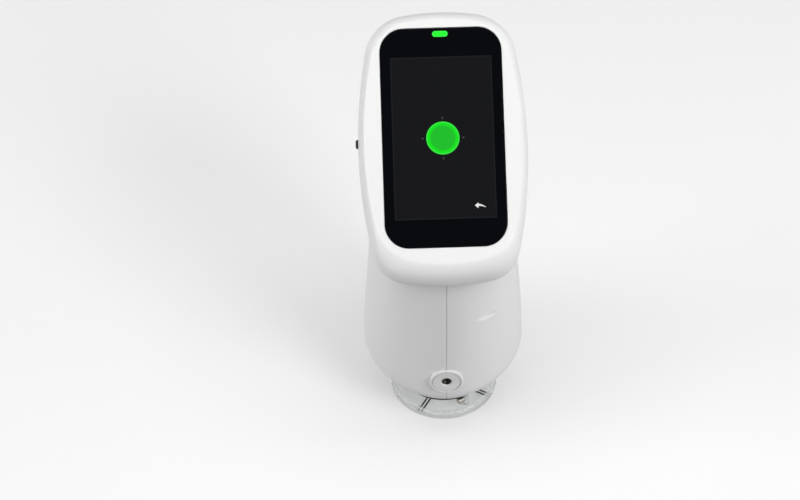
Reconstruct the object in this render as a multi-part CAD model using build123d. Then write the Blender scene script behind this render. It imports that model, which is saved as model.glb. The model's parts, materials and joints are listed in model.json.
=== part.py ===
from build123d import *
import os
from functools import cache
from math import atan2, cos, degrees, hypot, pi, radians, sin, sqrt

# Upright handheld colorimeter standing on its measuring port. Millimetres.
# Origin: centre of the measuring port on the sample plane.
# +X to the operator's right, +Y away from the operator, +Z up.

# ---- display head: a thick slab tilted towards the operator ----
HEAD_TILT = 39.2            # degrees between the display face and the horizontal
FACE_Y = -8.2               # middle of the picture
FACE_Z = 172.0
HEAD_HALF_WIDTH = 38.25     # widest outline of the head, measured in its own plane
HEAD_HALF_LENGTH = 62.1
HEAD_RADII = (170.0, 70.0, 22.0)    # side, end and corner arcs of the outline, tangent in turn
LIP_RADII = (217.0, 105.0, 16.0)    # the same at the lower half of the rim, which is squarer
HEAD_DROP = 3.4             # outline centre below the picture centre
HEAD_RIM_DEPTH = 15.0       # display face to the rim that meets the body
FACE_SIDE_ROUND = 2.8       # width of the rounded border at the sides
FACE_TOP_ROUND = 4.8
FACE_LIP_ROUND = 8.8        # the chin is rounded much more softly
FACE_ROUND_DEPTH = 11.0     # the border turns down over this depth
FACE_CREASE = 20.0          # degrees: the border starts with a slight crease
FACE_ROUND_STEPS = 4
FACE_THICKNESS = 2.6        # cover in front of the picture
SHADOW_GAP = 0.35           # parting line between head and body
SEAL_INSET = 0.3            # seal ring inside the body rim
SEAL_WIDTH = 0.8

# ---- body ----
BODY_BOTTOM_Z = 22.0
BODY_BOTTOM_ROUND = 9.7
BODY_FRONT_Y = -37.8
BODY_FRONT_POWER = 1.84     # below 2: the front is very slightly keeled along the seam
BODY_BACK_POWER = 2.0
BODY_RIM_UP = -2.6          # middle of the body rim above the picture centre
RIM_STEP = 1.0              # the body rim stands this far inside the head rim
SEAM_WIDTH = 0.5
SEAM_DEPTH = 0.5
HALF_GAP = 0.04             # half of the clearance between the two body halves
WALL = 2.2

# Stations of the body skin from the bottom up: front Y and Z, back Y and Z, half width,
# depth of the front part, and how far the outline has turned into the head's outline.
BODY_STATIONS = [
    (BODY_FRONT_Y + 0.1, BODY_BOTTOM_Z, 46.2, BODY_BOTTOM_Z, 39.6, 42.7, 0.0),
    (BODY_FRONT_Y, 34.0, 47.6, 34.0, 39.5, 42.8, 0.0),
    (BODY_FRONT_Y, 62.0, 53.4, 62.0, 37.7, 42.8, 0.0),
    (BODY_FRONT_Y, 86.0, 61.6, 88.0, 35.7, 43.4, 0.08),
    (BODY_FRONT_Y - 0.2, 98.0, 69.0, 112.0, 35.1, 46.0, 0.22),
    (BODY_FRONT_Y - 1.0, 105.0, 71.6, 137.0, 35.4, 50.0, 0.45),
    (BODY_FRONT_Y - 2.6, 110.5, 68.6, 160.0, 36.2, 54.0, 0.7),
    (BODY_FRONT_Y - 5.2, 116.0, 59.8, 181.0, 36.9, 57.5, 0.9),
]

# ---- strap dimple and label on the right flank ----
SCOOP_PLACE = (19.9, -30.0, 78.8)
SCOOP_TURN = 37.0           # degrees, follows the flank round
SCOOP_LENGTH = 14.0
SCOOP_HEIGHT = 3.7
SCOOP_PEAK = 0.15           # widest place, as a share of half the length towards the side
LABEL_LENGTH = 26.0
LABEL_HEIGHT = 22.0
LABEL_CORNER = 2.0
LABEL_THICKNESS = 0.2
LABEL_Y = 12.0
LABEL_Z = 74.0

# ---- case screws, along X through both halves ----
SCREW_RADIUS = 1.25
SCREW_HEAD = 2.3
SCREW_HEAD_HEIGHT = 1.6
SCREW_SHOULDER = 7.0        # seat of the screw head to the right of the seam
SCREW_REACH = 9.0           # screw tip to the left of the seam
BOSS_RADIUS = 3.2

# ---- display ----
GLASS_WIDTH = 54.6
GLASS_LENGTH = 99.0
GLASS_CORNER = 10.8
GLASS_THICKNESS = 1.1
GLASS_OFFSET = 0.25         # middle of the glass above the middle of the picture
GLASS_GAP = 0.15
GLASS_RECESS = 1.3          # the glass is bonded to a shelf this far below the face
GASKET_THICKNESS = 0.5
GASKET_LAP = 1.6
LCD_WIDTH = 49.6
LCD_LENGTH = 80.0
LCD_CORNER = 1.0
LCD_THICKNESS = 2.5
BRACKET_THICKNESS = 1.6
BRACKET_WIDTH = 55.0
BRACKET_LENGTH = 98.0
BRACKET_CORNER = 8.0
BRACKET_WINDOW = 20.0
DISPLAY_BOARD_WIDTH = 44.0
DISPLAY_BOARD_LENGTH = 70.0
DISPLAY_SPACER = 1.2
DISPLAY_SCREWS_ACROSS = 36.0
DISPLAY_SCREWS_UP = 62.0
DISPLAY_SCREW_RADIUS = 0.8
DISPLAY_SCREW_HEAD = 1.5
PIPE_WIDTH = 7.0
PIPE_HEIGHT = 2.7
PIPE_UP = 47.0              # status light above the picture centre
PIPE_GAP = 0.05

# ---- measuring end ----
SPHERE_RADIUS = 18.0        # inside of the integrating sphere
SPHERE_WALL = 2.0
SPHERE_Z = 22.0
SPHERE_PORT = 6.2
NOSE_WALL = 1.9
NOSE_TIP_RADIUS = 12.0
NOSE_TIP_HEIGHT = 4.2
NOSE_LIFT = 0.4             # only the aperture insert touches the sample
COLLAR_RADIUS = 22.6
COLLAR_Z = 9.5
COLLAR_HEIGHT = 3.0
FLANGE_RADIUS = 27.5
FLANGE_THICKNESS = 2.0
APERTURE_RADIUS = 4.0
APERTURE_OUTER = 10.5
APERTURE_DEPTH = 2.0
BASE_OPENING = 26.2
BASE_PLATE_RADIUS = 28.2
BASE_PLATE_THICKNESS = 2.5
BASE_PLATE_BEVEL = 0.6      # height of the relief that clears the rounding of the body floor
BASE_PLATE_BEVEL_WIDTH = 1.7
BASE_SCREW_CIRCLE = 24.3
BASE_SCREW_RADIUS = 0.9
BASE_SCREW_HEAD = 1.6
BASE_SCREW_HEAD_HEIGHT = 1.2
BASE_SCREW_COUNT = 4
SLIDE_FIT = 0.1             # clearance round pieces that drop into one another

# ---- clear stabilizer ----
RING_RADIUS = 26.8
RING_WALL = 2.0
RING_HEIGHT = 4.2
RING_FLOOR = 1.2
MARK_ANGLE = -30.0          # first arm of the printed cross
MARK_WIDTH = 0.75
MARK_PITCH = 1.7
MARK_DEPTH = 0.3
MARK_START = 13.6
POST_CIRCLE = 20.8
POST_RADIUS = 1.5
POST_ANGLE = -60.0
POST_COUNT = 3
CLIP_SCREW_RADIUS = 1.6
CLIP_SCREW_LENGTH = 3.6
CLIP_SCREW_Z = 5.5

# ---- stand socket ----
SOCKET_Z = 41.2
SOCKET_RADIUS = 8.1
SOCKET_PROUD = 0.9
SOCKET_EDGE = 0.6
SOCKET_GROOVE_RADIUS = 6.6
SOCKET_GROOVE = 0.4         # width and depth of the groove
SOCKET_LENGTH = 10.5
SOCKET_FLANGE_RADIUS = 9.5
SOCKET_FLANGE_DEPTH = 5.7   # disc face to the flange that holds the disc from behind
SOCKET_FLANGE_THICKNESS = 2.0
SOCKET_LIP = 1.0            # thickness in front of the insert
THREAD_RADIUS = 2.5
INSERT_RADIUS = 3.7
INSERT_LENGTH = 8.0

# ---- controls ----
BUTTON_Z = 140.0
BUTTON_BACK_Y = 72.6        # crown of the button
BUTTON_RADIUS = 7.5
BUTTON_ROUND = 1.2
BUTTON_LENGTH = 7.2
BUTTON_TRAVEL = 0.8
BUTTON_GAP = 0.3
BUTTON_FLANGE_RADIUS = 8.8
BUTTON_FLANGE = 1.3
PLUNGER_RADIUS = 1.7
PLUNGER_LENGTH = 2.2
PLUNGER_FIT = 0.08
TACT_SIZE = 6.0
TACT_HEIGHT = 3.2
BUTTON_BOARD_SIZE = 15.0
KNOB_LENGTH = 3.7
KNOB_HEIGHT = 3.2
KNOB_PROUD = 1.1
KNOB_ROUND = 0.5
KNOB_TRAVEL = 3.0
KNOB_UP = -0.5              # knob middle above the picture centre, switched on
KNOB_DEPTH = 10.0           # knob middle below the display face
KNOB_GAP = 0.25
KNOB_REACH = 0.2            # the knob reaches this far past the inner face of the wall
SWITCH_WIDTH = 4.6
SWITCH_LENGTH = 10.0
SWITCH_HEIGHT = 4.4
SWITCH_GAP = 0.5            # between the switch and the inner face of the wall
FLAP_WIDTH = 13.0
FLAP_HEIGHT = 7.4
FLAP_CORNER = 1.6
FLAP_THICKNESS = 1.5
FLAP_GAP = 0.35
FLAP_Z = 45.0

# ---- insides ----
BOARD = 1.6
LAMP_TILT = 40.0            # lamp and camera look into the sphere at this angle
LAMP_RADIUS = 5.5
LAMP_PORT = 4.0
LAMP_LENGTH = 11.0
LAMP_LED = 2.6
CAMERA_LENGTH = 9.0
CAMERA_LENS = 2.6
VIEW_TILT = 8.0             # the reading beam leaves the sphere at this angle
VIEW_PORT = 3.2
BARREL_WALL = 1.3
BARREL_LENGTH = 12.0
LENS_THICKNESS = 2.0
DECK_Z = 55.0
DECK_THICKNESS = 2.0
DECK_WIDTH = 50.0
DECK_DEPTH = 48.0
DECK_CORNER = 12.0
PILLAR_RADIUS = 2.6
PILLAR_CIRCLE = 24.3
PILLAR_ANGLE = 60.0         # from the X axis, mirrored to all four quarters
SPECTRO_WIDTH = 44.0
SPECTRO_DEPTH = 34.0
SPECTRO_HEIGHT = 20.0
SPECTRO_WALL = 1.6
SPECTRO_Y = 2.0
SPECTRO_CORNER = 3.0
GRATING_SIZE = 9.0
GRATING_THICKNESS = 2.5
MAIN_BOARD_Y = 29.0
MAIN_BOARD_WIDTH = 48.0
MAIN_BOARD_BOTTOM = 60.0
MAIN_BOARD_HEIGHT = 66.0
CELL_RADIUS = 9.2
CELL_LENGTH = 65.0
CELL_GAP = 0.3
CELL_Y = 45.5
CELL_BOTTOM = 91.0
TRAY_WALL = 1.6
USB_WIDTH = 9.0
USB_HEIGHT = 3.2
USB_LENGTH = 7.3
USB_WALL = 0.4
USB_BOARD_WIDTH = 14.0
USB_BOARD_DEPTH = 14.0
USB_OVERHANG = 3.0          # the socket reaches past its board
USB_SETBACK = 2.4           # mouth of the socket behind the skin
RIBBON_WIDTH = 12.0
RIBBON_THICKNESS = 0.3

FACE = Plane(
    origin=(0, FACE_Y, FACE_Z),
    x_dir=(1, 0, 0),
    z_dir=(0, -sin(radians(HEAD_TILT)), cos(radians(HEAD_TILT))),
)
OUTLINE_POINTS = 24
BIG = 400.0                 # larger than the whole instrument
UP = (Align.CENTER, Align.CENTER, Align.MIN)

# ---- depths of the display stack below the face ----
GLASS_BACK = GLASS_RECESS
GASKET_BACK = FACE_THICKNESS + GASKET_THICKNESS
LCD_BACK = GASKET_BACK + LCD_THICKNESS
BRACKET_BACK = LCD_BACK + BRACKET_THICKNESS
DISPLAY_BOARD_BACK = BRACKET_BACK + DISPLAY_SPACER + BOARD

# ---- levels of the measuring end ----
FLOOR_TOP = BODY_BOTTOM_Z + WALL
BASE_TOP = FLOOR_TOP + BASE_PLATE_THICKNESS
NOSE_FLANGE_TOP = BASE_TOP + FLANGE_THICKNESS
SPHERE_FLANGE_TOP = NOSE_FLANGE_TOP + FLANGE_THICKNESS
SPHERE_OUTER = SPHERE_RADIUS + SPHERE_WALL
NOSE_RADIUS = SPHERE_OUTER + SLIDE_FIT + NOSE_WALL
DECK_TOP = DECK_Z + DECK_THICKNESS
SPECTRO_TOP = DECK_TOP + SPECTRO_HEIGHT
SOCKET_FACE_Y = BODY_FRONT_Y - SOCKET_PROUD
BUTTON_INNER_Y = BUTTON_BACK_Y - BUTTON_LENGTH
PLUNGER_TIP_Y = BUTTON_INNER_Y - PLUNGER_LENGTH
TACT_BACK_Y = BUTTON_INNER_Y - BUTTON_TRAVEL - 0.1
TACT_FRONT_Y = TACT_BACK_Y - TACT_HEIGHT
USB_BOARD_Z = FLAP_Z - USB_HEIGHT / 2 - BOARD

# Y and Z of the case screws; the boss of the lowest one carries the socket board.
CASE_SCREWS = [(36.0, USB_BOARD_Z - BOSS_RADIUS), (63.0, 118.0), (59.0, 164.0)]


# ---- outlines and skins ----

def lame_radius(angle, half_width, half_length, power):
    """Distance from the middle of a Lame curve to the curve."""
    across = abs(cos(angle)) / half_width
    along = abs(sin(angle)) / half_length
    return (across**power + along**power) ** (-1 / power)


def arc_hit(angle, centre_x, centre_y, radius):
    """Distance from the origin, along a ray, to the far side of a circle."""
    across = centre_x * cos(angle) + centre_y * sin(angle)
    return across + sqrt(across**2 - centre_x**2 - centre_y**2 + radius**2)


def three_arc_radius(angle, half_width, half_length, inset, soften):
    """The same for the head outline: side arc, corner arc and end arc, tangent in turn."""
    lip = 1 - soften / FACE_SIDE_ROUND if sin(angle) < 0 else 0.0
    side, end, corner = (
        radius + lip * (lower - radius) - inset - soften
        for radius, lower in zip(HEAD_RADII, LIP_RADII)
    )
    side_x = half_width - side
    end_y = half_length - end
    reach_side = side - corner
    reach_end = end - corner
    apart = hypot(side_x, end_y)
    foot = (reach_side**2 - reach_end**2 + apart**2) / (2 * apart)
    rise = sqrt(reach_side**2 - foot**2)
    corner_x = side_x - foot * side_x / apart - rise * end_y / apart
    corner_y = foot * end_y / apart - rise * side_x / apart
    side_end = atan2(
        corner_y + corner * corner_y / reach_side,
        corner_x + corner * (corner_x - side_x) / reach_side,
    )
    end_start = atan2(
        corner_y + corner * (corner_y - end_y) / reach_end,
        corner_x + corner * corner_x / reach_end,
    )
    ray = atan2(abs(sin(angle)), abs(cos(angle)))
    if ray < side_end:
        return arc_hit(ray, side_x, 0, side)
    if ray > end_start:
        return arc_hit(ray, 0, end_y, end)
    return arc_hit(ray, corner_x, corner_y, corner)


def outline(plane, half_width, front, back, blend, inset=0.0, soften=0.0):
    """Closed smooth wire on a plane: Lame curve at blend 0, head outline at blend 1."""
    points = []
    for step in range(OUTLINE_POINTS):
        angle = 2 * pi * step / OUTLINE_POINTS
        length = (back if sin(angle) > 0 else front) - inset
        width = half_width - inset
        power = BODY_FRONT_POWER if sin(angle) < 0 else BODY_BACK_POWER
        radius = (1 - blend) * lame_radius(angle, width, length, power)
        radius += blend * three_arc_radius(angle, width, length, inset, soften)
        points.append(plane.from_local_coords(Vector(radius * cos(angle), radius * sin(angle))))
    return Wire([Edge.make_spline(points, periodic=True)])


def face_plane(depth, up=0.0, across=0.0):
    """Plane parallel to the display face, at a depth below it, facing outwards."""
    return Plane(
        origin=FACE.from_local_coords(Vector(across, up, -depth)),
        x_dir=FACE.x_dir,
        z_dir=FACE.z_dir,
    )


def station_plane(front_y, front_z, back_y, back_z, front_depth):
    """Plane through a front and a back point, with its origin front_depth behind the front."""
    run = Vector(0, back_y - front_y, back_z - front_z)
    along = run.normalized()
    origin = Vector(0, front_y, front_z) + along * front_depth
    return Plane(origin=origin, x_dir=(1, 0, 0), z_dir=Vector(1, 0, 0).cross(along)), run.length


@cache
def body_skin(inset=0.0, above=0.0):
    """Solid inside the body's outer skin, moved in by inset and carried above the rim."""
    wires = []
    for number, (front_y, front_z, back_y, back_z, width, depth, blend) in enumerate(BODY_STATIONS):
        lift = inset if number == 0 else 0.0
        plane, length = station_plane(front_y, front_z + lift, back_y, back_z + lift, depth)
        wires.append(outline(plane, width, depth, length - depth, blend, inset))
    half_length = HEAD_HALF_LENGTH - RIM_STEP - (BODY_RIM_UP + HEAD_DROP)
    for rise in sorted({0.0, above}):
        plane = face_plane(HEAD_RIM_DEPTH + SHADOW_GAP - rise, BODY_RIM_UP)
        wires.append(outline(plane, HEAD_HALF_WIDTH - RIM_STEP, half_length, half_length, 1.0, inset))
    solid = Solid.make_loft(wires)
    bottom = solid.faces().sort_by(Axis.Z)[0]
    return solid.fillet(BODY_BOTTOM_ROUND - inset, bottom.edges())


def head_section(depth, side, top, lip, inset=0.0):
    """Head outline at one depth, narrower by side and shorter by top and lip."""
    plane = face_plane(depth, (lip - top) / 2 - HEAD_DROP)
    half_length = HEAD_HALF_LENGTH - (lip + top) / 2
    return outline(plane, HEAD_HALF_WIDTH - side, half_length, half_length, 1.0, inset, side)


@cache
def head_skin(inset=0.0, top_depth=0.0, below=0.0):
    """Solid inside the head's outer skin, moved in by inset, from top_depth to below the rim."""
    wires = []
    start = radians(FACE_CREASE)
    for step in range(FACE_ROUND_STEPS + 1):
        turn = start + (pi / 2 - start) * step / FACE_ROUND_STEPS
        share = (1 - sin(turn)) / (1 - sin(start))
        depth = top_depth + (FACE_ROUND_DEPTH - top_depth) * (cos(start) - cos(turn)) / cos(start)
        wires.append(head_section(
            depth, FACE_SIDE_ROUND * share, FACE_TOP_ROUND * share, FACE_LIP_ROUND * share, inset,
        ))
    wires.append(head_section(HEAD_RIM_DEPTH + below, 0, 0, 0, inset))
    return Solid.make_loft(wires)


# ---- small helpers ----

def block(width, depth, height, x=0.0, y=0.0, z=0.0):
    """Box standing on z, centred on x and y."""
    return Pos(x, y, z) * Box(width, depth, height, align=UP)


def rod(radius, height, x=0.0, y=0.0, z=0.0):
    """Upright cylinder standing on z."""
    return Pos(x, y, z) * Cylinder(radius, height, align=UP)


def ring(outer, inner, height, z=0.0):
    """Upright ring round the Z axis."""
    return rod(outer, height, z=z) - rod(inner, height, z=z)


def back_rod(radius, length, y, z, x=0.0):
    """Cylinder along +Y from a face at y."""
    return Pos(x, y, z) * Rot(-90, 0, 0) * Cylinder(radius, length, align=UP)


def side_rod(radius, start, stop, y, z):
    """Cylinder along X between two X values."""
    return Pos(start, y, z) * Rot(0, 90, 0) * Cylinder(radius, stop - start, align=UP)


def slab(plane, width, length, thickness, corner=0.0):
    """Rounded plate on a plane, growing along the plane's normal."""
    sketch = RectangleRounded(width, length, corner) if corner else Rectangle(width, length)
    return extrude(plane * sketch, thickness)


def polar(radius, first, count):
    """Evenly spaced x and y places on a circle round the Z axis."""
    angles = [radians(first + 360 * step / count) for step in range(count)]
    return [(radius * cos(angle), radius * sin(angle)) for angle in angles]


def quarters(x, y):
    """The four mirrored places of one x and y."""
    return [(side * x, end * y) for side in (-1, 1) for end in (-1, 1)]


def group(solids):
    """Several separate solids in one node."""
    return Compound(children=list(solids))


def sphere_axis(tilt, distance=0.0):
    """Location on a line through the sphere's centre, tilted from +Z towards +X."""
    return Pos(0, 0, SPHERE_Z) * Rot(0, tilt, 0) * Pos(0, 0, distance)


# ---- casings ----

def head_cover():
    """Front frame of the head: skin, glass recess, shelf, status light hole, switch slot."""
    cover = head_skin() - head_skin(WALL, FACE_THICKNESS, 1.0)
    cover -= slab(
        face_plane(GLASS_RECESS, GLASS_OFFSET), GLASS_WIDTH + 2 * GLASS_GAP,
        GLASS_LENGTH + 2 * GLASS_GAP, HEAD_RIM_DEPTH, GLASS_CORNER + GLASS_GAP,
    )
    cover -= slab(
        face_plane(FACE_THICKNESS + 1), LCD_WIDTH - 2 * GASKET_LAP, LCD_LENGTH - 2 * GASKET_LAP,
        FACE_THICKNESS + 1, LCD_CORNER,
    )
    cover -= light_prism(FACE_THICKNESS + 1, PIPE_GAP)
    return cover - knob_slot()


def light_prism(depth, gap=0.0):
    """Lozenge prism of the status light, from depth below the face up to the glass face."""
    height = PIPE_HEIGHT + 2 * gap
    plane = face_plane(depth, PIPE_UP)
    return slab(plane, PIPE_WIDTH + 2 * gap, height, depth - GLASS_RECESS + GLASS_THICKNESS, height * 0.49)


def knob_slot():
    """Slot in the left wall of the head for the power knob."""
    place = FACE * Pos(-HEAD_HALF_WIDTH, KNOB_UP - KNOB_TRAVEL / 2, -KNOB_DEPTH)
    return place * Box(3 * WALL, KNOB_LENGTH + KNOB_TRAVEL + 2 * KNOB_GAP, KNOB_HEIGHT + 2 * KNOB_GAP)


def body_shell():
    """Both body halves in one: skin with its seam groove and every hole through it."""
    shell = body_skin() - body_skin(WALL, 2.0)
    groove = (body_skin() & Box(SEAM_WIDTH, BIG, 2 * BIG)) - body_skin(SEAM_DEPTH, 2.0)
    shell -= groove
    shell -= rod(BASE_OPENING, FLOOR_TOP + 1)
    shell -= back_rod(SOCKET_RADIUS + SLIDE_FIT, SOCKET_FLANGE_DEPTH, SOCKET_FACE_Y - 1, SOCKET_Z)
    shell -= back_rod(BUTTON_RADIUS + BUTTON_GAP, BIG / 10, BUTTON_INNER_Y, BUTTON_Z)
    shell -= flap_prism(FLAP_GAP)
    return shell - strap_scoop()


def strap_scoop():
    """Spindle that cuts the strap dimple, deepest towards the side."""
    half = SCOOP_LENGTH / 2
    profile = ThreePointArc((-half, 0), (half * SCOOP_PEAK, SCOOP_HEIGHT / 2), (half, 0))
    spindle = revolve(make_face([profile, Line((half, 0), (-half, 0))]), Axis.X)
    return Pos(*SCOOP_PLACE) * Rot(0, 0, SCOOP_TURN) * spindle


def body_halves():
    """Left and right body halves with their screw bosses."""
    bosses = [side_rod(BOSS_RADIUS, -BIG / 4, BIG / 4, y, z) for y, z in CASE_SCREWS]
    inside = [boss & body_skin(WALL - 0.2) for boss in bosses]
    shell = body_shell()
    halves = []
    for side in (-1, 1):
        room = Pos(side * (BIG / 2 + HALF_GAP), 0, 0) * Box(BIG, BIG, 2 * BIG)
        half = shell & room
        for boss in inside:
            half += boss & room
        for y, z in CASE_SCREWS:
            half -= side_rod(SCREW_RADIUS, -SCREW_REACH, SCREW_SHOULDER, y, z)
            half -= side_rod(SCREW_HEAD + SLIDE_FIT, SCREW_SHOULDER, BIG / 4, y, z)
        halves.append(half)
    return halves


def head_seal():
    """Thin dark seal ring in the parting line between head and body."""
    depth = HEAD_RIM_DEPTH + SHADOW_GAP
    inset = RIM_STEP + SEAL_INSET
    outer = Face(head_section(depth, 0, 0, 0, inset))
    inner = Face(head_section(depth, 0, 0, 0, inset + SEAL_WIDTH))
    return Solid.extrude(outer, FACE.z_dir * SHADOW_GAP) - Solid.extrude(inner, FACE.z_dir * SHADOW_GAP)


def rating_label():
    """Bare label that follows the right flank."""
    patch = Pos(BIG / 4, LABEL_Y, LABEL_Z) * Box(BIG / 2, LABEL_LENGTH, LABEL_HEIGHT)
    patch = fillet(patch.edges().filter_by(Axis.X), LABEL_CORNER)
    return (body_skin(-LABEL_THICKNESS) & patch) - body_skin()


def case_screws():
    """Three screws that pull the right half onto the left one."""
    screws = []
    for y, z in CASE_SCREWS:
        shank = side_rod(SCREW_RADIUS, -SCREW_REACH, SCREW_SHOULDER, y, z)
        screws.append(shank + side_rod(SCREW_HEAD, SCREW_SHOULDER, SCREW_SHOULDER + SCREW_HEAD_HEIGHT, y, z))
    return group(screws)


# ---- display stack, from the front backwards ----

def touch_glass():
    """Cover glass with a hole for the status light."""
    plane = face_plane(GLASS_BACK, GLASS_OFFSET)
    return slab(plane, GLASS_WIDTH, GLASS_LENGTH, GLASS_THICKNESS, GLASS_CORNER) - light_prism(
        FACE_THICKNESS + 1, PIPE_GAP)


def light_pipe():
    """Lozenge light guide of the status light, with a foot behind the cover."""
    foot_top = FACE_THICKNESS + GASKET_THICKNESS
    pipe = light_prism(foot_top + 1)
    return pipe + slab(face_plane(foot_top + 1, PIPE_UP), PIPE_WIDTH + 2, PIPE_HEIGHT + 2, 1.0, 1.0)


def status_led():
    """Green indicator diode behind its light guide."""
    depth = LCD_BACK
    return slab(face_plane(depth, PIPE_UP), 3.0, 1.6, depth - GASKET_BACK - 1.0)


def display_gasket():
    """Foam frame between the cover and the picture module."""
    plane = face_plane(GASKET_BACK)
    frame = slab(plane, LCD_WIDTH, LCD_LENGTH, GASKET_THICKNESS, LCD_CORNER)
    return frame - slab(
        plane, LCD_WIDTH - 2 * GASKET_LAP, LCD_LENGTH - 2 * GASKET_LAP, GASKET_THICKNESS, LCD_CORNER)


def lcd_module():
    """Picture module."""
    return slab(face_plane(LCD_BACK), LCD_WIDTH, LCD_LENGTH, LCD_THICKNESS, LCD_CORNER)


def display_screw_places():
    """Four places on the display face for the screws of bracket and board."""
    return [FACE * Pos(x, y, 0) for x, y in quarters(DISPLAY_SCREWS_ACROSS / 2, DISPLAY_SCREWS_UP / 2)]


def display_bracket():
    """Frame that presses the picture module forwards, with spacers for the board."""
    plate = slab(face_plane(BRACKET_BACK), BRACKET_WIDTH, BRACKET_LENGTH, BRACKET_THICKNESS, BRACKET_CORNER)
    plate -= slab(face_plane(BRACKET_BACK), BRACKET_WINDOW, BRACKET_WINDOW, BRACKET_THICKNESS, 2.0)
    for place in display_screw_places():
        plate += place * Pos(0, 0, -BRACKET_BACK - DISPLAY_SPACER) * Cylinder(2.2, DISPLAY_SPACER, align=UP)
        plate -= place * Pos(0, 0, -DISPLAY_BOARD_BACK) * Cylinder(
            DISPLAY_SCREW_RADIUS, DISPLAY_BOARD_BACK - LCD_BACK, align=UP)
    return plate


def display_board():
    """Circuit board behind the display."""
    board = slab(face_plane(DISPLAY_BOARD_BACK), DISPLAY_BOARD_WIDTH, DISPLAY_BOARD_LENGTH, BOARD, 2.0)
    for place in display_screw_places():
        board -= place * Pos(0, 0, -DISPLAY_BOARD_BACK) * Cylinder(DISPLAY_SCREW_RADIUS, BOARD, align=UP)
    return board


def display_screws():
    """Four screws through the board into the bracket."""
    screws = []
    for place in display_screw_places():
        length = DISPLAY_BOARD_BACK - LCD_BACK
        shank = Pos(0, 0, -DISPLAY_BOARD_BACK) * Cylinder(DISPLAY_SCREW_RADIUS, length, align=UP)
        head = Pos(0, 0, -DISPLAY_BOARD_BACK - 1) * Cylinder(DISPLAY_SCREW_HEAD, 1, align=UP)
        screws.append(place * (shank + head))
    return group(screws)


def display_ribbon():
    """Flat flexible cable from the display board down to the main board."""
    start = FACE.from_local_coords(Vector(0, -10, -DISPLAY_BOARD_BACK - 3))
    top = MAIN_BOARD_BOTTOM + MAIN_BOARD_HEIGHT - 6
    path = Polyline(
        (start.Y, start.Z), (start.Y + 4, start.Z - 16), (MAIN_BOARD_Y - 8, top + 14),
        (MAIN_BOARD_Y - RIBBON_THICKNESS, top + 4), (MAIN_BOARD_Y - RIBBON_THICKNESS, top - 2),
    )
    strip = Plane.YZ.offset(-RIBBON_WIDTH / 2) * trace(path, RIBBON_THICKNESS)
    return extrude(strip, RIBBON_WIDTH, dir=(1, 0, 0))


# ---- power switch ----

def power_knob():
    """Slide knob in the left wall of the head."""
    outer = HEAD_HALF_WIDTH + KNOB_PROUD
    inner = HEAD_HALF_WIDTH - WALL - KNOB_REACH
    knob = Pos(-(outer + inner) / 2, KNOB_UP, -KNOB_DEPTH) * Box(outer - inner, KNOB_LENGTH, KNOB_HEIGHT)
    end = knob.faces().sort_by(Axis.X)[0]
    return FACE * fillet(end.edges(), KNOB_ROUND)


def power_switch():
    """Body of the slide switch behind the knob."""
    outer = HEAD_HALF_WIDTH - WALL - SWITCH_GAP
    place = FACE * Pos(-outer + SWITCH_WIDTH / 2, KNOB_UP - KNOB_TRAVEL / 2, -KNOB_DEPTH)
    return place * Box(SWITCH_WIDTH, SWITCH_LENGTH, SWITCH_HEIGHT)


# ---- measuring button ----

def measure_button():
    """Round button in the back of the grip, with its stop flange inside the wall."""
    crown = back_rod(BUTTON_RADIUS, BUTTON_LENGTH, BUTTON_INNER_Y, BUTTON_Z)
    crown = fillet(crown.faces().sort_by(Axis.Y)[-1].edges(), BUTTON_ROUND)
    return crown + back_rod(BUTTON_FLANGE_RADIUS, BUTTON_FLANGE, BUTTON_INNER_Y, BUTTON_Z)


def button_plunger():
    """Plunger of the tact switch, pushed by the button."""
    return back_rod(PLUNGER_RADIUS, PLUNGER_LENGTH, PLUNGER_TIP_Y, BUTTON_Z)


def tact_switch():
    """Tact switch body with the bore for its plunger."""
    body = Pos(0, (TACT_FRONT_Y + TACT_BACK_Y) / 2, BUTTON_Z) * Box(TACT_SIZE, TACT_HEIGHT, TACT_SIZE)
    bore = back_rod(PLUNGER_RADIUS + PLUNGER_FIT, BIG / 10, PLUNGER_TIP_Y - BUTTON_TRAVEL - 0.1, BUTTON_Z)
    return body - bore


def button_board():
    """Small board that carries the tact switch."""
    return Pos(0, TACT_FRONT_Y - BOARD / 2, BUTTON_Z) * Box(BUTTON_BOARD_SIZE, BOARD, BUTTON_BOARD_SIZE)


# ---- stand socket ----

def stand_boss():
    """Raised disc in the lower front, gripped between the halves, with a stand thread."""
    boss = back_rod(SOCKET_RADIUS, SOCKET_LENGTH, SOCKET_FACE_Y, SOCKET_Z)
    boss = fillet(boss.faces().sort_by(Axis.Y)[0].edges(), SOCKET_EDGE)
    boss += back_rod(
        SOCKET_FLANGE_RADIUS, SOCKET_FLANGE_THICKNESS, SOCKET_FACE_Y + SOCKET_FLANGE_DEPTH, SOCKET_Z)
    groove = back_rod(SOCKET_GROOVE_RADIUS + SOCKET_GROOVE, SOCKET_GROOVE, SOCKET_FACE_Y, SOCKET_Z)
    boss -= groove - back_rod(SOCKET_GROOVE_RADIUS, SOCKET_GROOVE, SOCKET_FACE_Y, SOCKET_Z)
    boss -= back_rod(THREAD_RADIUS, SOCKET_LENGTH, SOCKET_FACE_Y, SOCKET_Z)
    return boss - back_rod(INSERT_RADIUS, SOCKET_LENGTH, SOCKET_FACE_Y + SOCKET_LIP, SOCKET_Z)


def thread_insert():
    """Metal insert with the stand thread, drawn as a plain bore."""
    start = SOCKET_FACE_Y + SOCKET_LIP
    insert = back_rod(INSERT_RADIUS, INSERT_LENGTH, start, SOCKET_Z)
    return insert - back_rod(THREAD_RADIUS, INSERT_LENGTH, start, SOCKET_Z)


# ---- measuring end ----

def base_screw_places():
    """Places of the screws that clamp base plate, nose and sphere together."""
    return polar(BASE_SCREW_CIRCLE, 45, BASE_SCREW_COUNT)


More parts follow.
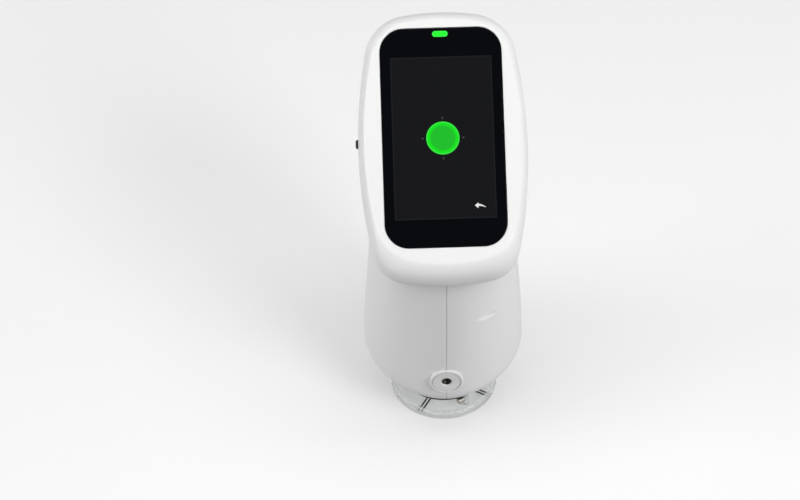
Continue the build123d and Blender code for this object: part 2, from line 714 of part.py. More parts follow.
def base_plate():
    """Stepped plate that closes the bottom opening and carries the optics."""
    relief = Cone(BASE_PLATE_RADIUS - BASE_PLATE_BEVEL_WIDTH, BASE_PLATE_RADIUS, BASE_PLATE_BEVEL, align=UP)
    plate = Pos(0, 0, FLOOR_TOP) * relief
    plate += rod(BASE_PLATE_RADIUS, BASE_PLATE_THICKNESS - BASE_PLATE_BEVEL, z=FLOOR_TOP + BASE_PLATE_BEVEL)
    plate += rod(BASE_OPENING - SLIDE_FIT, WALL, z=BODY_BOTTOM_Z)
    plate -= rod(NOSE_RADIUS + SLIDE_FIT, BIG / 4)
    for x, y in base_screw_places():
        plate -= rod(BASE_SCREW_RADIUS, BIG / 4, x, y)
        plate -= rod(BASE_SCREW_HEAD, BASE_SCREW_HEAD_HEIGHT, x, y, BODY_BOTTOM_Z)
    return plate


def base_screws():
    """Screws from below through base plate and nose into the sphere."""
    screws = []
    for x, y in base_screw_places():
        shank = rod(BASE_SCREW_RADIUS, SPHERE_FLANGE_TOP - BODY_BOTTOM_Z, x, y, BODY_BOTTOM_Z)
        screws.append(shank + rod(BASE_SCREW_HEAD, BASE_SCREW_HEAD_HEIGHT, x, y, BODY_BOTTOM_Z))
    return group(screws)


def port_nose():
    """Bowl that carries the aperture down to the sample, with a collar for the stabilizer."""
    nose = (Pos(0, 0, SPHERE_Z) * Sphere(NOSE_RADIUS)) & rod(BIG, SPHERE_Z)
    nose -= rod(BIG, NOSE_LIFT)
    nose += rod(NOSE_TIP_RADIUS, NOSE_TIP_HEIGHT, z=NOSE_LIFT)
    nose += rod(NOSE_RADIUS, BASE_TOP - SPHERE_Z, z=SPHERE_Z)
    nose += rod(COLLAR_RADIUS, COLLAR_HEIGHT, z=COLLAR_Z)
    nose += rod(FLANGE_RADIUS, FLANGE_THICKNESS, z=BASE_TOP)
    nose -= Pos(0, 0, SPHERE_Z) * Sphere(SPHERE_OUTER + SLIDE_FIT)
    nose -= rod(SPHERE_OUTER + SLIDE_FIT, BIG / 4, z=SPHERE_Z)
    nose -= rod(APERTURE_OUTER + SLIDE_FIT, APERTURE_DEPTH)
    nose -= rod(SPHERE_PORT + SLIDE_FIT, SPHERE_Z)
    for x, y in base_screw_places():
        nose -= rod(BASE_SCREW_RADIUS, BIG / 4, x, y)
    return nose


def aperture_insert():
    """Exchangeable ring with the measuring aperture; it rests on the sample."""
    return ring(APERTURE_OUTER, APERTURE_RADIUS, APERTURE_DEPTH)


def sphere_lower():
    """Lower half of the integrating sphere with the sample port."""
    shell = Pos(0, 0, SPHERE_Z) * (Sphere(SPHERE_OUTER) - Sphere(SPHERE_RADIUS))
    shell &= rod(BIG, SPHERE_Z)
    return shell - rod(SPHERE_PORT, SPHERE_Z)


def sphere_upper():
    """Upper half with its flange and the lamp, camera and reading ports."""
    shell = Pos(0, 0, SPHERE_Z) * Sphere(SPHERE_OUTER) & rod(BIG, BIG, z=SPHERE_Z)
    shell += rod(FLANGE_RADIUS, FLANGE_THICKNESS, z=NOSE_FLANGE_TOP)
    shell -= Pos(0, 0, SPHERE_Z) * Sphere(SPHERE_RADIUS)
    for tilt, radius in ((-LAMP_TILT, LAMP_PORT), (LAMP_TILT, CAMERA_LENS), (VIEW_TILT, VIEW_PORT)):
        shell -= sphere_axis(tilt) * Cylinder(radius, BIG / 4, align=UP)
    for x, y in base_screw_places():
        shell -= rod(BASE_SCREW_RADIUS, BIG / 4, x, y)
    return shell


def on_sphere(radius, length, tilt):
    """Round piece that stands on the outside of the sphere along a tilted axis."""
    piece = sphere_axis(tilt) * Cylinder(radius, SPHERE_OUTER + length, align=UP)
    return piece - Pos(0, 0, SPHERE_Z) * Sphere(SPHERE_OUTER)


def lamp_housing():
    """Tube that holds the lamp over its port."""
    bore = sphere_axis(-LAMP_TILT) * Cylinder(LAMP_PORT, BIG / 4, align=UP)
    return on_sphere(LAMP_RADIUS, LAMP_LENGTH, -LAMP_TILT) - bore


def lamp_led():
    """Full-spectrum diode with its round heat-spreading board on the end of the tube."""
    top = SPHERE_OUTER + LAMP_LENGTH
    board = sphere_axis(-LAMP_TILT, top) * Cylinder(LAMP_RADIUS, BOARD, align=UP)
    return board + sphere_axis(-LAMP_TILT, top - 1) * Cylinder(LAMP_LED, 1, align=UP)


def camera_module():
    """Aiming camera that looks at the sample through the sphere."""
    top = SPHERE_OUTER + CAMERA_LENGTH
    tube = on_sphere(LAMP_RADIUS - 1, CAMERA_LENGTH, LAMP_TILT)
    tube -= sphere_axis(LAMP_TILT, -1) * Cylinder(CAMERA_LENS, top - 2, align=UP)
    return tube + sphere_axis(LAMP_TILT, top) * Box(9, 9, 3, align=UP)


def lens_barrel():
    """Barrel of the reading beam between sphere and spectrometer."""
    barrel = on_sphere(VIEW_PORT + BARREL_WALL, BARREL_LENGTH, VIEW_TILT)
    return barrel - sphere_axis(VIEW_TILT) * Cylinder(VIEW_PORT, BIG / 4, align=UP)


def collecting_lens():
    """Lens inside the barrel."""
    middle = SPHERE_OUTER + BARREL_LENGTH / 2
    return sphere_axis(VIEW_TILT, middle) * Cylinder(VIEW_PORT, LENS_THICKNESS, align=UP)


def optical_deck():
    """Deck on four pillars that carries the spectrometer above the sphere."""
    plane = Plane.XY.offset(DECK_Z)
    deck = extrude(plane * RectangleRounded(DECK_WIDTH, DECK_DEPTH, DECK_CORNER), DECK_THICKNESS)
    deck -= sphere_axis(VIEW_TILT) * Cylinder(VIEW_PORT + BARREL_WALL + SLIDE_FIT, BIG / 4, align=UP)
    turn = radians(PILLAR_ANGLE)
    for x, y in quarters(PILLAR_CIRCLE * cos(turn), PILLAR_CIRCLE * sin(turn)):
        deck += rod(PILLAR_RADIUS, DECK_Z - SPHERE_FLANGE_TOP, x, y, SPHERE_FLANGE_TOP)
    return deck


def spectrometer_case():
    """Open box of the grating spectrometer, with the beam's inlet in its floor."""
    plane = Plane.XY.offset(DECK_TOP) * Pos(0, SPECTRO_Y)
    case = extrude(plane * RectangleRounded(SPECTRO_WIDTH, SPECTRO_DEPTH, SPECTRO_CORNER), SPECTRO_HEIGHT)
    hollow = RectangleRounded(
        SPECTRO_WIDTH - 2 * SPECTRO_WALL, SPECTRO_DEPTH - 2 * SPECTRO_WALL, SPECTRO_CORNER - SPECTRO_WALL)
    case -= extrude(plane * Pos(0, 0, SPECTRO_WALL) * hollow, SPECTRO_HEIGHT)
    return case - sphere_axis(VIEW_TILT) * Cylinder(1.5, BIG / 4, align=UP)


def spectrometer_lid():
    """Lid of the spectrometer."""
    plane = Plane.XY.offset(SPECTRO_TOP) * Pos(0, SPECTRO_Y)
    return extrude(plane * RectangleRounded(SPECTRO_WIDTH, SPECTRO_DEPTH, SPECTRO_CORNER), SPECTRO_WALL)


def spectro_block(width, depth, height, x, y, turn):
    """Upright optical piece on the floor of the spectrometer, turned about Z."""
    return Pos(x, SPECTRO_Y + y, DECK_TOP + SPECTRO_WALL) * Rot(0, 0, turn) * Box(
        width, depth, height, align=UP)


def fold_mirror():
    """Concave mirror that spreads the beam over the grating."""
    mirror = spectro_block(14, 4, 12, -11, 8, 20)
    bowl = Pos(-11 + 12, SPECTRO_Y + 8 - 29, DECK_TOP + SPECTRO_WALL) * Cylinder(30, 30)
    return mirror - bowl


def diffraction_grating():
    """Reflecting grating on its wedge."""
    return spectro_block(GRATING_SIZE, GRATING_THICKNESS, GRATING_SIZE, 12, -9, 25)


def line_sensor():
    """Line sensor on its board."""
    board = spectro_block(20, BOARD, 14, 8, 12, 0)
    return board + spectro_block(14, 1.2, 5, 8, 12 - BOARD / 2 - 0.6, 0)


# ---- electronics ----

def main_board():
    """Upright main circuit board behind the optics."""
    return block(MAIN_BOARD_WIDTH, BOARD, MAIN_BOARD_HEIGHT, 0, MAIN_BOARD_Y + BOARD / 2, MAIN_BOARD_BOTTOM)


def board_chips():
    """Processor, memory, radio shield, buzzer and connector on the main board."""
    sizes = [(14, 1.4, 14, -8, 22), (9, 1.2, 12, 8, 24), (15, 2.4, 11, -13, 44), (10, 4.0, 10, 14, 44)]
    return group(
        block(width, depth, height, x, MAIN_BOARD_Y - depth / 2, MAIN_BOARD_BOTTOM + up)
        for width, depth, height, x, up in sizes
    )


def board_spacers():
    """Four spacers between the spectrometer and the main board."""
    back = SPECTRO_Y + SPECTRO_DEPTH / 2
    places = [(x, DECK_TOP + up) for x in (-16, 16) for up in (6, 16)]
    return group(back_rod(2.0, MAIN_BOARD_Y - back, back, z, x) for x, z in places)


def cell_places():
    """X of the two cells side by side."""
    return (-CELL_RADIUS - CELL_GAP / 2, CELL_RADIUS + CELL_GAP / 2)


def battery_cells():
    """Two rechargeable cells standing in the grip."""
    return group(rod(CELL_RADIUS, CELL_LENGTH, x, CELL_Y, CELL_BOTTOM) for x in cell_places())


def battery_tray():
    """Tray that holds both cells by their ends, with its back against the main board."""
    width = 4 * CELL_RADIUS
    front = MAIN_BOARD_Y + BOARD
    depth = CELL_Y - front
    middle = front + depth / 2
    tray = block(width, depth, TRAY_WALL, 0, middle, CELL_BOTTOM - TRAY_WALL)
    tray += block(width, depth, TRAY_WALL, 0, middle, CELL_BOTTOM + CELL_LENGTH)
    tray += block(
        width, TRAY_WALL, CELL_LENGTH + 2 * TRAY_WALL, 0, front + TRAY_WALL / 2, CELL_BOTTOM - TRAY_WALL)
    return tray


def usb_board():
    """Small board that carries the charging and data socket."""
    edge = skin_back(FLAP_Z) - USB_SETBACK - USB_OVERHANG
    return block(USB_BOARD_WIDTH, USB_BOARD_DEPTH, BOARD, 0, edge - USB_BOARD_DEPTH / 2, USB_BOARD_Z)


def usb_socket():
    """Charging and data socket: a flat metal shell, open to the back."""
    front = skin_back(FLAP_Z) - USB_SETBACK
    corner = USB_HEIGHT * 0.49
    shell = Plane.XZ.offset(-front) * RectangleRounded(USB_WIDTH, USB_HEIGHT, corner)
    hollow = Plane.XZ.offset(-front) * RectangleRounded(
        USB_WIDTH - 2 * USB_WALL, USB_HEIGHT - 2 * USB_WALL, corner - USB_WALL)
    body = extrude(Pos(0, 0, FLAP_Z) * shell, USB_LENGTH)
    return body - extrude(Pos(0, 0, FLAP_Z) * hollow, USB_LENGTH - 1)


@cache
def skin_back(z, x=0.0):
    """Y of the body skin at the back, at a height and a distance from the seam."""
    line = Edge.make_line((x, 0, z), (x, BIG / 4, z))
    return (line & body_skin()).bounding_box().max.Y


def flap_prism(gap=0.0):
    """Prism along Y round the flap's outline, square at the hinge, out to well past the skin."""
    width = FLAP_WIDTH + 2 * gap
    height = FLAP_HEIGHT + 2 * gap
    sketch = RectangleRounded(width, height, FLAP_CORNER + gap)
    sketch += Pos(-width / 4, 0) * Rectangle(width / 2, height)
    prism = extrude(Plane.XZ * sketch, -BIG / 5)
    return Pos(0, skin_back(FLAP_Z) - 2 * WALL, FLAP_Z) * prism


def flap_hinge():
    """Location on the flap's hinge line, with Z along the line and so along the leaning skin."""
    x = (FLAP_THICKNESS - FLAP_WIDTH) / 2
    low = skin_back(FLAP_Z - FLAP_HEIGHT / 2, x)
    high = skin_back(FLAP_Z + FLAP_HEIGHT / 2, x)
    lean = atan2(high - low, FLAP_HEIGHT)
    y = (low + high - FLAP_THICKNESS / cos(lean)) / 2
    return Pos(x, y, FLAP_Z) * Rot(-degrees(lean), 0, 0)


def usb_flap():
    """Rubber flap over the socket, flush with the skin, with a round edge where it hinges."""
    hinge = flap_hinge()
    flap = (flap_prism() & body_skin()) - body_skin(FLAP_THICKNESS)
    barrel = hinge * Cylinder(FLAP_THICKNESS / 2, 2 * FLAP_HEIGHT) & flap_prism()
    flap -= Pos(hinge.position.X + FLAP_THICKNESS / 5 - FLAP_WIDTH / 2, 0, FLAP_Z) * Box(FLAP_WIDTH, BIG, BIG)
    return flap + barrel


# ---- clear stabilizer ----

def mark_strips(depth, floor):
    """The strips of the cross: two parallel lines on each of four arms."""
    length = RING_RADIUS - RING_WALL - MARK_START
    strips = []
    for arm in range(4):
        turn = Rot(0, 0, MARK_ANGLE + 90 * arm)
        for side in (-1, 1):
            strips.append(turn * block(
                length, MARK_WIDTH, depth, MARK_START + length / 2, side * MARK_PITCH / 2, floor))
    return strips


def stabilizer_ring():
    """Clear plate with an upright rim and a hole for the nose, grooved for the cross."""
    plate = ring(RING_RADIUS, NOSE_TIP_RADIUS + 4 * SLIDE_FIT, RING_FLOOR)
    plate += ring(RING_RADIUS, RING_RADIUS - RING_WALL, RING_HEIGHT)
    for strip in mark_strips(MARK_DEPTH, RING_FLOOR - MARK_DEPTH):
        plate -= strip
    return plate


def stabilizer_marks():
    """Black filling of the cross grooves."""
    return group(mark_strips(MARK_DEPTH, RING_FLOOR - MARK_DEPTH))


def stabilizer_posts():
    """Clear posts between the plate and the nose's collar."""
    height = COLLAR_Z - RING_FLOOR
    places = polar(POST_CIRCLE, POST_ANGLE, POST_COUNT)
    return group(rod(POST_RADIUS, height, x, y, RING_FLOOR) for x, y in places)


def clip_screws():
    """Small grub screws in the sides of the posts."""
    screws = []
    for number in range(POST_COUNT):
        turn = Rot(0, 0, POST_ANGLE + 360 * number / POST_COUNT)
        screw = Pos(POST_CIRCLE, -POST_RADIUS * 0.8, CLIP_SCREW_Z) * Rot(90, 0, 0) * Cylinder(
            CLIP_SCREW_RADIUS, CLIP_SCREW_LENGTH, align=UP)
        screws.append(turn * (screw - rod(POST_RADIUS, BIG / 4, POST_CIRCLE)))
    return group(screws)


def build():
    """Every node by name."""
    body_left, body_right = body_halves()
    return {
        "head_cover": head_cover(),
        "head_seal": head_seal(),
        "body_left": body_left,
        "body_right": body_right,
        "case_screws": case_screws(),
        "rating_label": rating_label(),
        "touch_glass": touch_glass(),
        "light_pipe": light_pipe(),
        "status_led": status_led(),
        "display_gasket": display_gasket(),
        "lcd_module": lcd_module(),
        "display_bracket": display_bracket(),
        "display_board": display_board(),
        "display_screws": display_screws(),
        "display_ribbon": display_ribbon(),
        "power_knob": power_knob(),
        "power_switch": power_switch(),
        "measure_button": measure_button(),
        "button_plunger": button_plunger(),
        "tact_switch": tact_switch(),
        "button_board": button_board(),
        "stand_boss": stand_boss(),
        "thread_insert": thread_insert(),
        "base_plate": base_plate(),
        "base_screws": base_screws(),
        "port_nose": port_nose(),
        "aperture_insert": aperture_insert(),
        "sphere_lower": sphere_lower(),
        "sphere_upper": sphere_upper(),
        "lamp_housing": lamp_housing(),
        "lamp_led": lamp_led(),
        "camera_module": camera_module(),
        "lens_barrel": lens_barrel(),
        "collecting_lens": collecting_lens(),
        "optical_deck": optical_deck(),
        "spectrometer_case": spectrometer_case(),
        "spectrometer_lid": spectrometer_lid(),
        "fold_mirror": fold_mirror(),
        "diffraction_grating": diffraction_grating(),
        "line_sensor": line_sensor(),
        "main_board": main_board(),
        "board_chips": board_chips(),
        "board_spacers": board_spacers(),
        "battery_cells": battery_cells(),
        "battery_tray": battery_tray(),
        "usb_board": usb_board(),
        "usb_socket": usb_socket(),
        "usb_flap": usb_flap(),
        "stabilizer_ring": stabilizer_ring(),
        "stabilizer_marks": stabilizer_marks(),
        "stabilizer_posts": stabilizer_posts(),
        "clip_screws": clip_screws(),
    }


if __name__ == "__main__":
    os.makedirs("parts", exist_ok=True)
    for name, shape in build().items():
        export_step(shape, f"parts/{name}.step")
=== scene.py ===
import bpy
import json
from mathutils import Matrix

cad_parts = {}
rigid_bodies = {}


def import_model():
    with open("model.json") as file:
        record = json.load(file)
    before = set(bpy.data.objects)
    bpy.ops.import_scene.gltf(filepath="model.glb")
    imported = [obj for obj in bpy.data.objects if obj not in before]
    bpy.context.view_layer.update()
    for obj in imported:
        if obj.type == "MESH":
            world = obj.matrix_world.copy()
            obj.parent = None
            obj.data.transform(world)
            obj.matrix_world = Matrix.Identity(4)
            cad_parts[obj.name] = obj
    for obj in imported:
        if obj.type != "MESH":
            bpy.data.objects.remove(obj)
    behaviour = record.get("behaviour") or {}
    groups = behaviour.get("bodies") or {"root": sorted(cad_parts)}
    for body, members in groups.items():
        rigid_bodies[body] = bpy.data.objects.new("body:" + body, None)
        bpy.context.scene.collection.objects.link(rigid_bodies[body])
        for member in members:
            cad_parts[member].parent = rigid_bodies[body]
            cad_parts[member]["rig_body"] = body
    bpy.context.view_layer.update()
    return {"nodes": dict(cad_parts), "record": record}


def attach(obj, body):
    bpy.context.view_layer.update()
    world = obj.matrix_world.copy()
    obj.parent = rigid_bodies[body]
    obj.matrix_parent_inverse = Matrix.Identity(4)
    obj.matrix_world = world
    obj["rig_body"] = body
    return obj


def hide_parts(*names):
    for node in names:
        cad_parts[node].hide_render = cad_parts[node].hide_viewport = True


bl_info = {
    "name": "Upright Colorimeter",
    "version": (1, 0, 0),
    "blender": (4, 5, 0),
    "location": "View3D > Sidebar > Colorimeter",
    "description": "Surfaces, display, clear stabilizer and studio of an upright colorimeter",
    "category": "Object",
}

import json
from math import acos, atan2, cos, hypot, pi, radians, sin, sqrt, tan

import bpy
import numpy as np
from bpy.props import FloatProperty, FloatVectorProperty, IntProperty, PointerProperty
from mathutils import Matrix, Vector

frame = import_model()
SLOT_OF = {part["node"]: part["material_slot"] for part in frame["record"]["subparts"]}

MM = 0.001

# ---- sizes and places in millimetres, as the construction has them ----
HEAD_TILT = radians(39.2)
FACE_MIDDLE = np.array([0.0, -8.2, 172.0])
HEAD_HALF_WIDTH = 38.25
HEAD_HALF_LENGTH = 62.1
# Side, end and corner arcs of the head's outline at the crease, and of its squarer rim.
CREASE_RADII = (170.0, 70.0, 22.0)
UPPER_RADII = (232.0, 112.0, 20.5)
LOWER_RADII = (217.0, 105.0, 16.0)
HEAD_DROP = 3.4
HEAD_RIM_DEPTH = 15.0
HEAD_SIDE_DEPTHS = (13.2, 12.0)
FACE_SIDE_ROUND = 2.8
FACE_TOP_ROUND = 4.8
FACE_LIP_ROUND = 8.8
FACE_ROUND_DEPTH = 11.0
FACE_CREASE = radians(20)
FACE_THICKNESS = 2.6
SHADOW_GAP = 0.35
WALL = 2.2

BODY_BOTTOM_Z = 22.0
BODY_BOTTOM_ROUND = 9.7
BODY_FRONT_Y = -37.8
BODY_FRONT_POWER = 1.84
BODY_BACK_POWER = 2.0
BODY_RIM_UP = -2.6
RIM_STEP = 1.0
HALF_GAP = 0.04
BASE_OPENING = 26.2
OUTSIDE_X = 60.0
# Front Y and Z, back Y and Z, half width, depth of the front part, turn into the head's outline.
BODY_STATIONS = (
    (BODY_FRONT_Y + 0.1, BODY_BOTTOM_Z, 46.2, BODY_BOTTOM_Z, 39.5, 42.7, 0.0),
    (BODY_FRONT_Y, 34.0, 47.6, 34.0, 39.45, 42.8, 0.0),
    (BODY_FRONT_Y, 62.0, 53.4, 62.0, 37.7, 42.8, 0.0),
    (BODY_FRONT_Y, 86.0, 61.6, 88.0, 35.7, 43.4, 0.08),
    (BODY_FRONT_Y - 0.2, 98.0, 69.0, 112.0, 35.1, 46.0, 0.22),
    (BODY_FRONT_Y - 1.0, 105.0, 71.6, 137.0, 35.4, 50.0, 0.45),
    (BODY_FRONT_Y - 2.6, 110.5, 68.6, 160.0, 36.2, 54.0, 0.7),
    (BODY_FRONT_Y - 5.2, 116.0, 59.8, 181.0, 36.9, 57.5, 0.9),
)

GLASS_WIDTH = 54.6
GLASS_LENGTH = 99.0
GLASS_CORNER = 10.8
GLASS_OFFSET = 0.25
GLASS_GAP = 0.15
GLASS_TOP = 0.2
GLASS_BACK = 1.3
GLASS_EDGE = 0.2
WINDOW_WIDTH = 46.4
WINDOW_LENGTH = 76.8
WINDOW_CORNER = 1.0
PIPE_WIDTH = 7.0
PIPE_HEIGHT = 2.7
PIPE_CORNER = 1.3
PIPE_EDGE = 0.12
PIPE_UP = 47.0
PIPE_PROUD = 0.05
PIPE_BACK = 4.1
TARGET_ACROSS, TARGET_UP = -0.2, -0.2
ARROW_ACROSS, ARROW_UP = 13.0, -30.85

KNOB_LENGTH = 3.7
KNOB_HEIGHT = 3.2
KNOB_OUTER = HEAD_HALF_WIDTH + 1.1
KNOB_INNER = HEAD_HALF_WIDTH - WALL - 0.2
KNOB_UP = -0.5
KNOB_DEPTH = 10.0
KNOB_TRAVEL = 3.0
KNOB_GAP = 0.25
KNOB_SLOT_CORNER = 0.4
KNOB_RIBS = 4
KNOB_RIB_DEPTH = 0.28
KNOB_CROWN = 0.5

SOCKET_Z = 41.2
SOCKET_FACE_Y = BODY_FRONT_Y - 0.9
SOCKET_RADIUS = 8.1
SOCKET_LENGTH = 10.5
SOCKET_GAP = 0.1
SOCKET_HOLE_END_Y = -33.6
SOCKET_FLANGE_RADIUS = 9.5
SOCKET_FLANGE_FRONT, SOCKET_FLANGE_BACK = 5.7, 7.7
GROOVE_RADIUS = 6.6
GROOVE_WIDTH = 0.4
GROOVE_DEPTH = 0.9
HOLLOW = 0.25
INSERT_RADIUS = 3.7
INSERT_FRONT, INSERT_BACK = 1.0, 9.0
BUTTON_Z = 140.0
BUTTON_CROWN_Y = 72.6
BUTTON_HEIGHT = 7.2
BUTTON_RADIUS = 7.5
BUTTON_FLANGE_RADIUS = 8.8
BUTTON_FLANGE_HEIGHT = 1.3
BUTTON_DISH = 0.25
BUTTON_DISH_RADIUS = 6.0
BUTTON_GAP = 0.3
BUTTON_HOLE_Y = (66.0, 80.0)
FLAP_Z = 45.0
FLAP_WIDTH = 13.0
FLAP_HEIGHT = 7.4
FLAP_CORNER = 1.95
FLAP_HINGE_CORNER = 0.1
FLAP_GAP = 0.35
FLAP_HOLE_Y = (44.0, 60.0)
BOSS_RADIUS = 3.2
BOSS_END_X = 45.0
BOSS_COVER = 1.0
SCREW_HEAD = 2.4
SCREW_SHOULDER = 7.0
CASE_SCREWS = ((36.0, 38.6), (63.0, 118.0), (59.0, 164.0))    # Y and Z
# The strap dimple: its height falls by the slope and its middle line bends in, as the skin does.
SCOOP_MIDDLE = np.array([19.4, -30.1, 77.9])
SCOOP_TURN = radians(39)
SCOOP_LENGTH = 12.4
SCOOP_HEIGHT = 3.8
SCOOP_DEPTH = 1.3
SCOOP_MORE_DEPTH = 0.35
SCOOP_SLOPE = 0.24
SCOOP_BEND = 35.0
SCOOP_PROUD = 0.15

RING_RADIUS = 26.8
RING_WALL = 2.0
RING_HEIGHT = 4.2
RING_FLOOR = 1.2
RING_HOLE = 12.4
POST_CIRCLE = 20.8
POST_RADIUS = 1.5
POST_TOP = 9.5
POST_ANGLE = -60.0
POST_SINK = 0.05
MARK_ANGLE = -30.0
MARK_ASIDE = 0.85
MARK_BOTTOM = 0.92
MARK_TOP = 1.22
# Places along an inked line, and its half width there.
MARK_STEPS = ((13.6, 0.25), (13.75, 0.375), (24.65, 0.375), (24.78, 0.25))
CLIP_Z = 5.5
CLIP_SHANK_RADIUS, CLIP_HEAD_RADIUS = 1.0, 1.6
CLIP_START, CLIP_SEAT, CLIP_END = 1.2, 1.6, 4.7

ACROSS = np.array([1.0, 0.0, 0.0])
UPWARDS = np.array([0.0, cos(HEAD_TILT), sin(HEAD_TILT)])
OUTWARDS = np.array([0.0, -sin(HEAD_TILT), cos(HEAD_TILT)])

# ---- studio; the soft boxes and the floor in metres ----
SOFT_BOXES = {
    "overhead": ((0, -0.02, 1.4), (1.6, 0.5)),
    "front_left": ((-0.9, -0.95, 1.1), (0.6, 0.6)),
    "front_right": ((0.9, -0.95, 1.1), (0.6, 0.6)),
    "left": ((-1.35, -0.2, 0.6), (0.8, 0.8)),
    "right": ((1.35, -0.2, 0.6), (0.8, 0.8)),
}
SOFT_BOX_AIM = (0, 0, 0.1)
FLOOR_SIZE = 12
FLOOR_BOUNCE = (0.28, 0.28, 0.28)
FLOOR_GLOW = 0.4
CAMERA_AZIMUTH = radians(-0.391)
CAMERA_ELEVATION = radians(45.014)
CAMERA_ROLL = radians(-1.483)
CAMERA_TARGET = np.array([-20.532, 0, 93.768])
CAMERA_DISTANCE = 931.28
CAMERA_LENS = 87.916

WELD = 2e-5
SMOOTH_ANGLE = radians(28)


class CasingSettings(bpy.types.PropertyGroup):
    colour: FloatVectorProperty(
        name="Plastic", description="Colour of the white mouldings", subtype="COLOR", size=3,
        default=(0.86, 0.865, 0.86), min=0, max=1)
    roughness: FloatProperty(
        name="Roughness", description="Sheen of the white mouldings", default=0.38, min=0.05, max=1)
    seam_width: FloatProperty(
        name="Seam width", description="Width of the groove between the halves, mm",
        default=0.28, min=0.2, max=1.5)
    seam_depth: FloatProperty(
        name="Seam depth", description="Depth of the groove between the halves, mm",
        default=0.28, min=0.1, max=1.5)
    edge: FloatProperty(
        name="Edge", description="Rounding of moulded edges, mm", default=0.15, min=0.02, max=0.3)
    rim_edge: FloatProperty(
        name="Rim edge", description="Rounding of the head's lower rim, mm", default=1.1, min=0.1, max=1.5)
    columns: IntProperty(
        name="Columns", description="Points round each shell", default=180, min=48, max=360)


class DisplaySettings(bpy.types.PropertyGroup):
    screen_width: FloatProperty(name="Picture width", description="Lit width, mm", default=45.4)
    screen_length: FloatProperty(name="Picture length", description="Lit length, mm", default=73.2)
    target_radius: FloatProperty(name="Target", description="Radius of the aiming target, mm", default=7.4)
    target_ring: FloatProperty(name="Target ring", description="Width of its bright ring, mm", default=1.8)
    tick_distance: FloatProperty(name="Ticks", description="Distance of the four ticks, mm", default=9.1)
    green: FloatVectorProperty(
        name="Green", description="Bright green of target and status light", subtype="COLOR", size=3,
        default=(0.006, 0.76, 0.01), min=0, max=1)


class SocketSettings(bpy.types.PropertyGroup):
    pitch: FloatProperty(
        name="Pitch", description="Pitch of the stand thread, mm", default=0.8, min=0.4, max=2)
    thread_radius: FloatProperty(name="Major radius", description="Of the stand thread, mm", default=2.5)
    thread_depth: FloatProperty(name="Thread depth", description="Height of the thread, mm", default=0.35)
    countersink: FloatProperty(
        name="Countersink", description="Round the thread's mouth, mm", default=0.3, min=0.05, max=0.8)


class StudioSettings(bpy.types.PropertyGroup):
    overhead: FloatProperty(name="Overhead", description="Overhead soft box, W", default=9.1, min=0)
    front_left: FloatProperty(
        name="Front left", description="High soft box at the front left, W", default=0.65, min=0)
    front_right: FloatProperty(
        name="Front right", description="High soft box at the front right, W", default=12.6, min=0)
    left: FloatProperty(name="Left", description="Soft box at the left, W", default=9.1, min=0)
    right: FloatProperty(name="Right", description="Soft box at the right, W", default=3.65, min=0)
    horizon: FloatProperty(name="Horizon", description="Brightness of the surroundings", default=0.27, min=0)
    floor: FloatVectorProperty(
        name="Floor", description="Colour of the floor", subtype="COLOR", size=3, default=(0.95, 0.95, 0.95))


class ColorimeterSettings(bpy.types.PropertyGroup):
    casing: PointerProperty(type=CasingSettings)
    display: PointerProperty(type=DisplaySettings)
    socket: PointerProperty(type=SocketSettings)
    studio: PointerProperty(type=StudioSettings)


# ---- outlines: lengths of rays from the middle of each shape ----

def ray_to_circle(rays, x, y, radius):
    """Far side of a circle along rays from the origin."""
    across = x * np.cos(rays) + y * np.sin(rays)
    return across + np.sqrt(np.maximum(across ** 2 - x * x - y * y + radius * radius, 0))


def first_quarter(angles):
    """The same directions folded into the first quarter, which all the outlines repeat."""
    return np.arctan2(np.abs(np.sin(angles)), np.abs(np.cos(angles)))


def head_radius(angles, half_width, half_length, inset, share=0.0):
    """Head outline at share 1, the crease, to share 0, the rim."""
    upper, lower = (
        three_arc_radius(angles, half_width, half_length, *[
            rim + (crease - rim) * share - inset for rim, crease in zip(radii, CREASE_RADII)])
        for radii in (UPPER_RADII, LOWER_RADII))
    return np.where(np.sin(angles) < 0, lower, upper)


def three_arc_radius(angles, half_width, half_length, side, end, corner):
    """Outline of a side arc, a corner arc and an end arc in each quarter, tangent in turn."""
    side_x, end_y = half_width - side, half_length - end
    reach_side, reach_end = side - corner, end - corner
    apart = hypot(side_x, end_y)
    foot = (reach_side ** 2 - reach_end ** 2 + apart ** 2) / (2 * apart)
    rise = sqrt(reach_side ** 2 - foot ** 2)
    corner_x = side_x - foot * side_x / apart - rise * end_y / apart
    corner_y = foot * end_y / apart - rise * side_x / apart
    side_end = atan2(
        corner_y * (1 + corner / reach_side), corner_x + corner * (corner_x - side_x) / reach_side)
    end_start = atan2(
        corner_y + corner * (corner_y - end_y) / reach_end, corner_x * (1 + corner / reach_end))
    rays = first_quarter(angles)
    arcs = ray_to_circle(rays, corner_x, corner_y, corner)
    arcs = np.where(rays < side_end, ray_to_circle(rays, side_x, 0, side), arcs)
    return np.where(rays > end_start, ray_to_circle(rays, 0, end_y, end), arcs)


def rectangle_radius(angles, half_width, half_length, corner):
    """Rectangle with rounded corners."""
    rays = first_quarter(angles)
    to_side = half_width / np.maximum(np.cos(rays), 1e-9)
    to_end = half_length / np.maximum(np.sin(rays), 1e-9)
    arc = ray_to_circle(rays, half_width - corner, half_length - corner, corner)
    arc = np.where(to_side * np.sin(rays) < half_length - corner, to_side, arc)
    return np.where(to_end * np.cos(rays) < half_width - corner, to_end, arc)


def lame_radius(angles, half_width, half_length, power):
    """Lame curve, with one power and one half length for each ray."""
    across = np.abs(np.cos(angles)) / half_width
    along = np.abs(np.sin(angles)) / half_length
    return (across ** power + along ** power) ** (-1 / power)


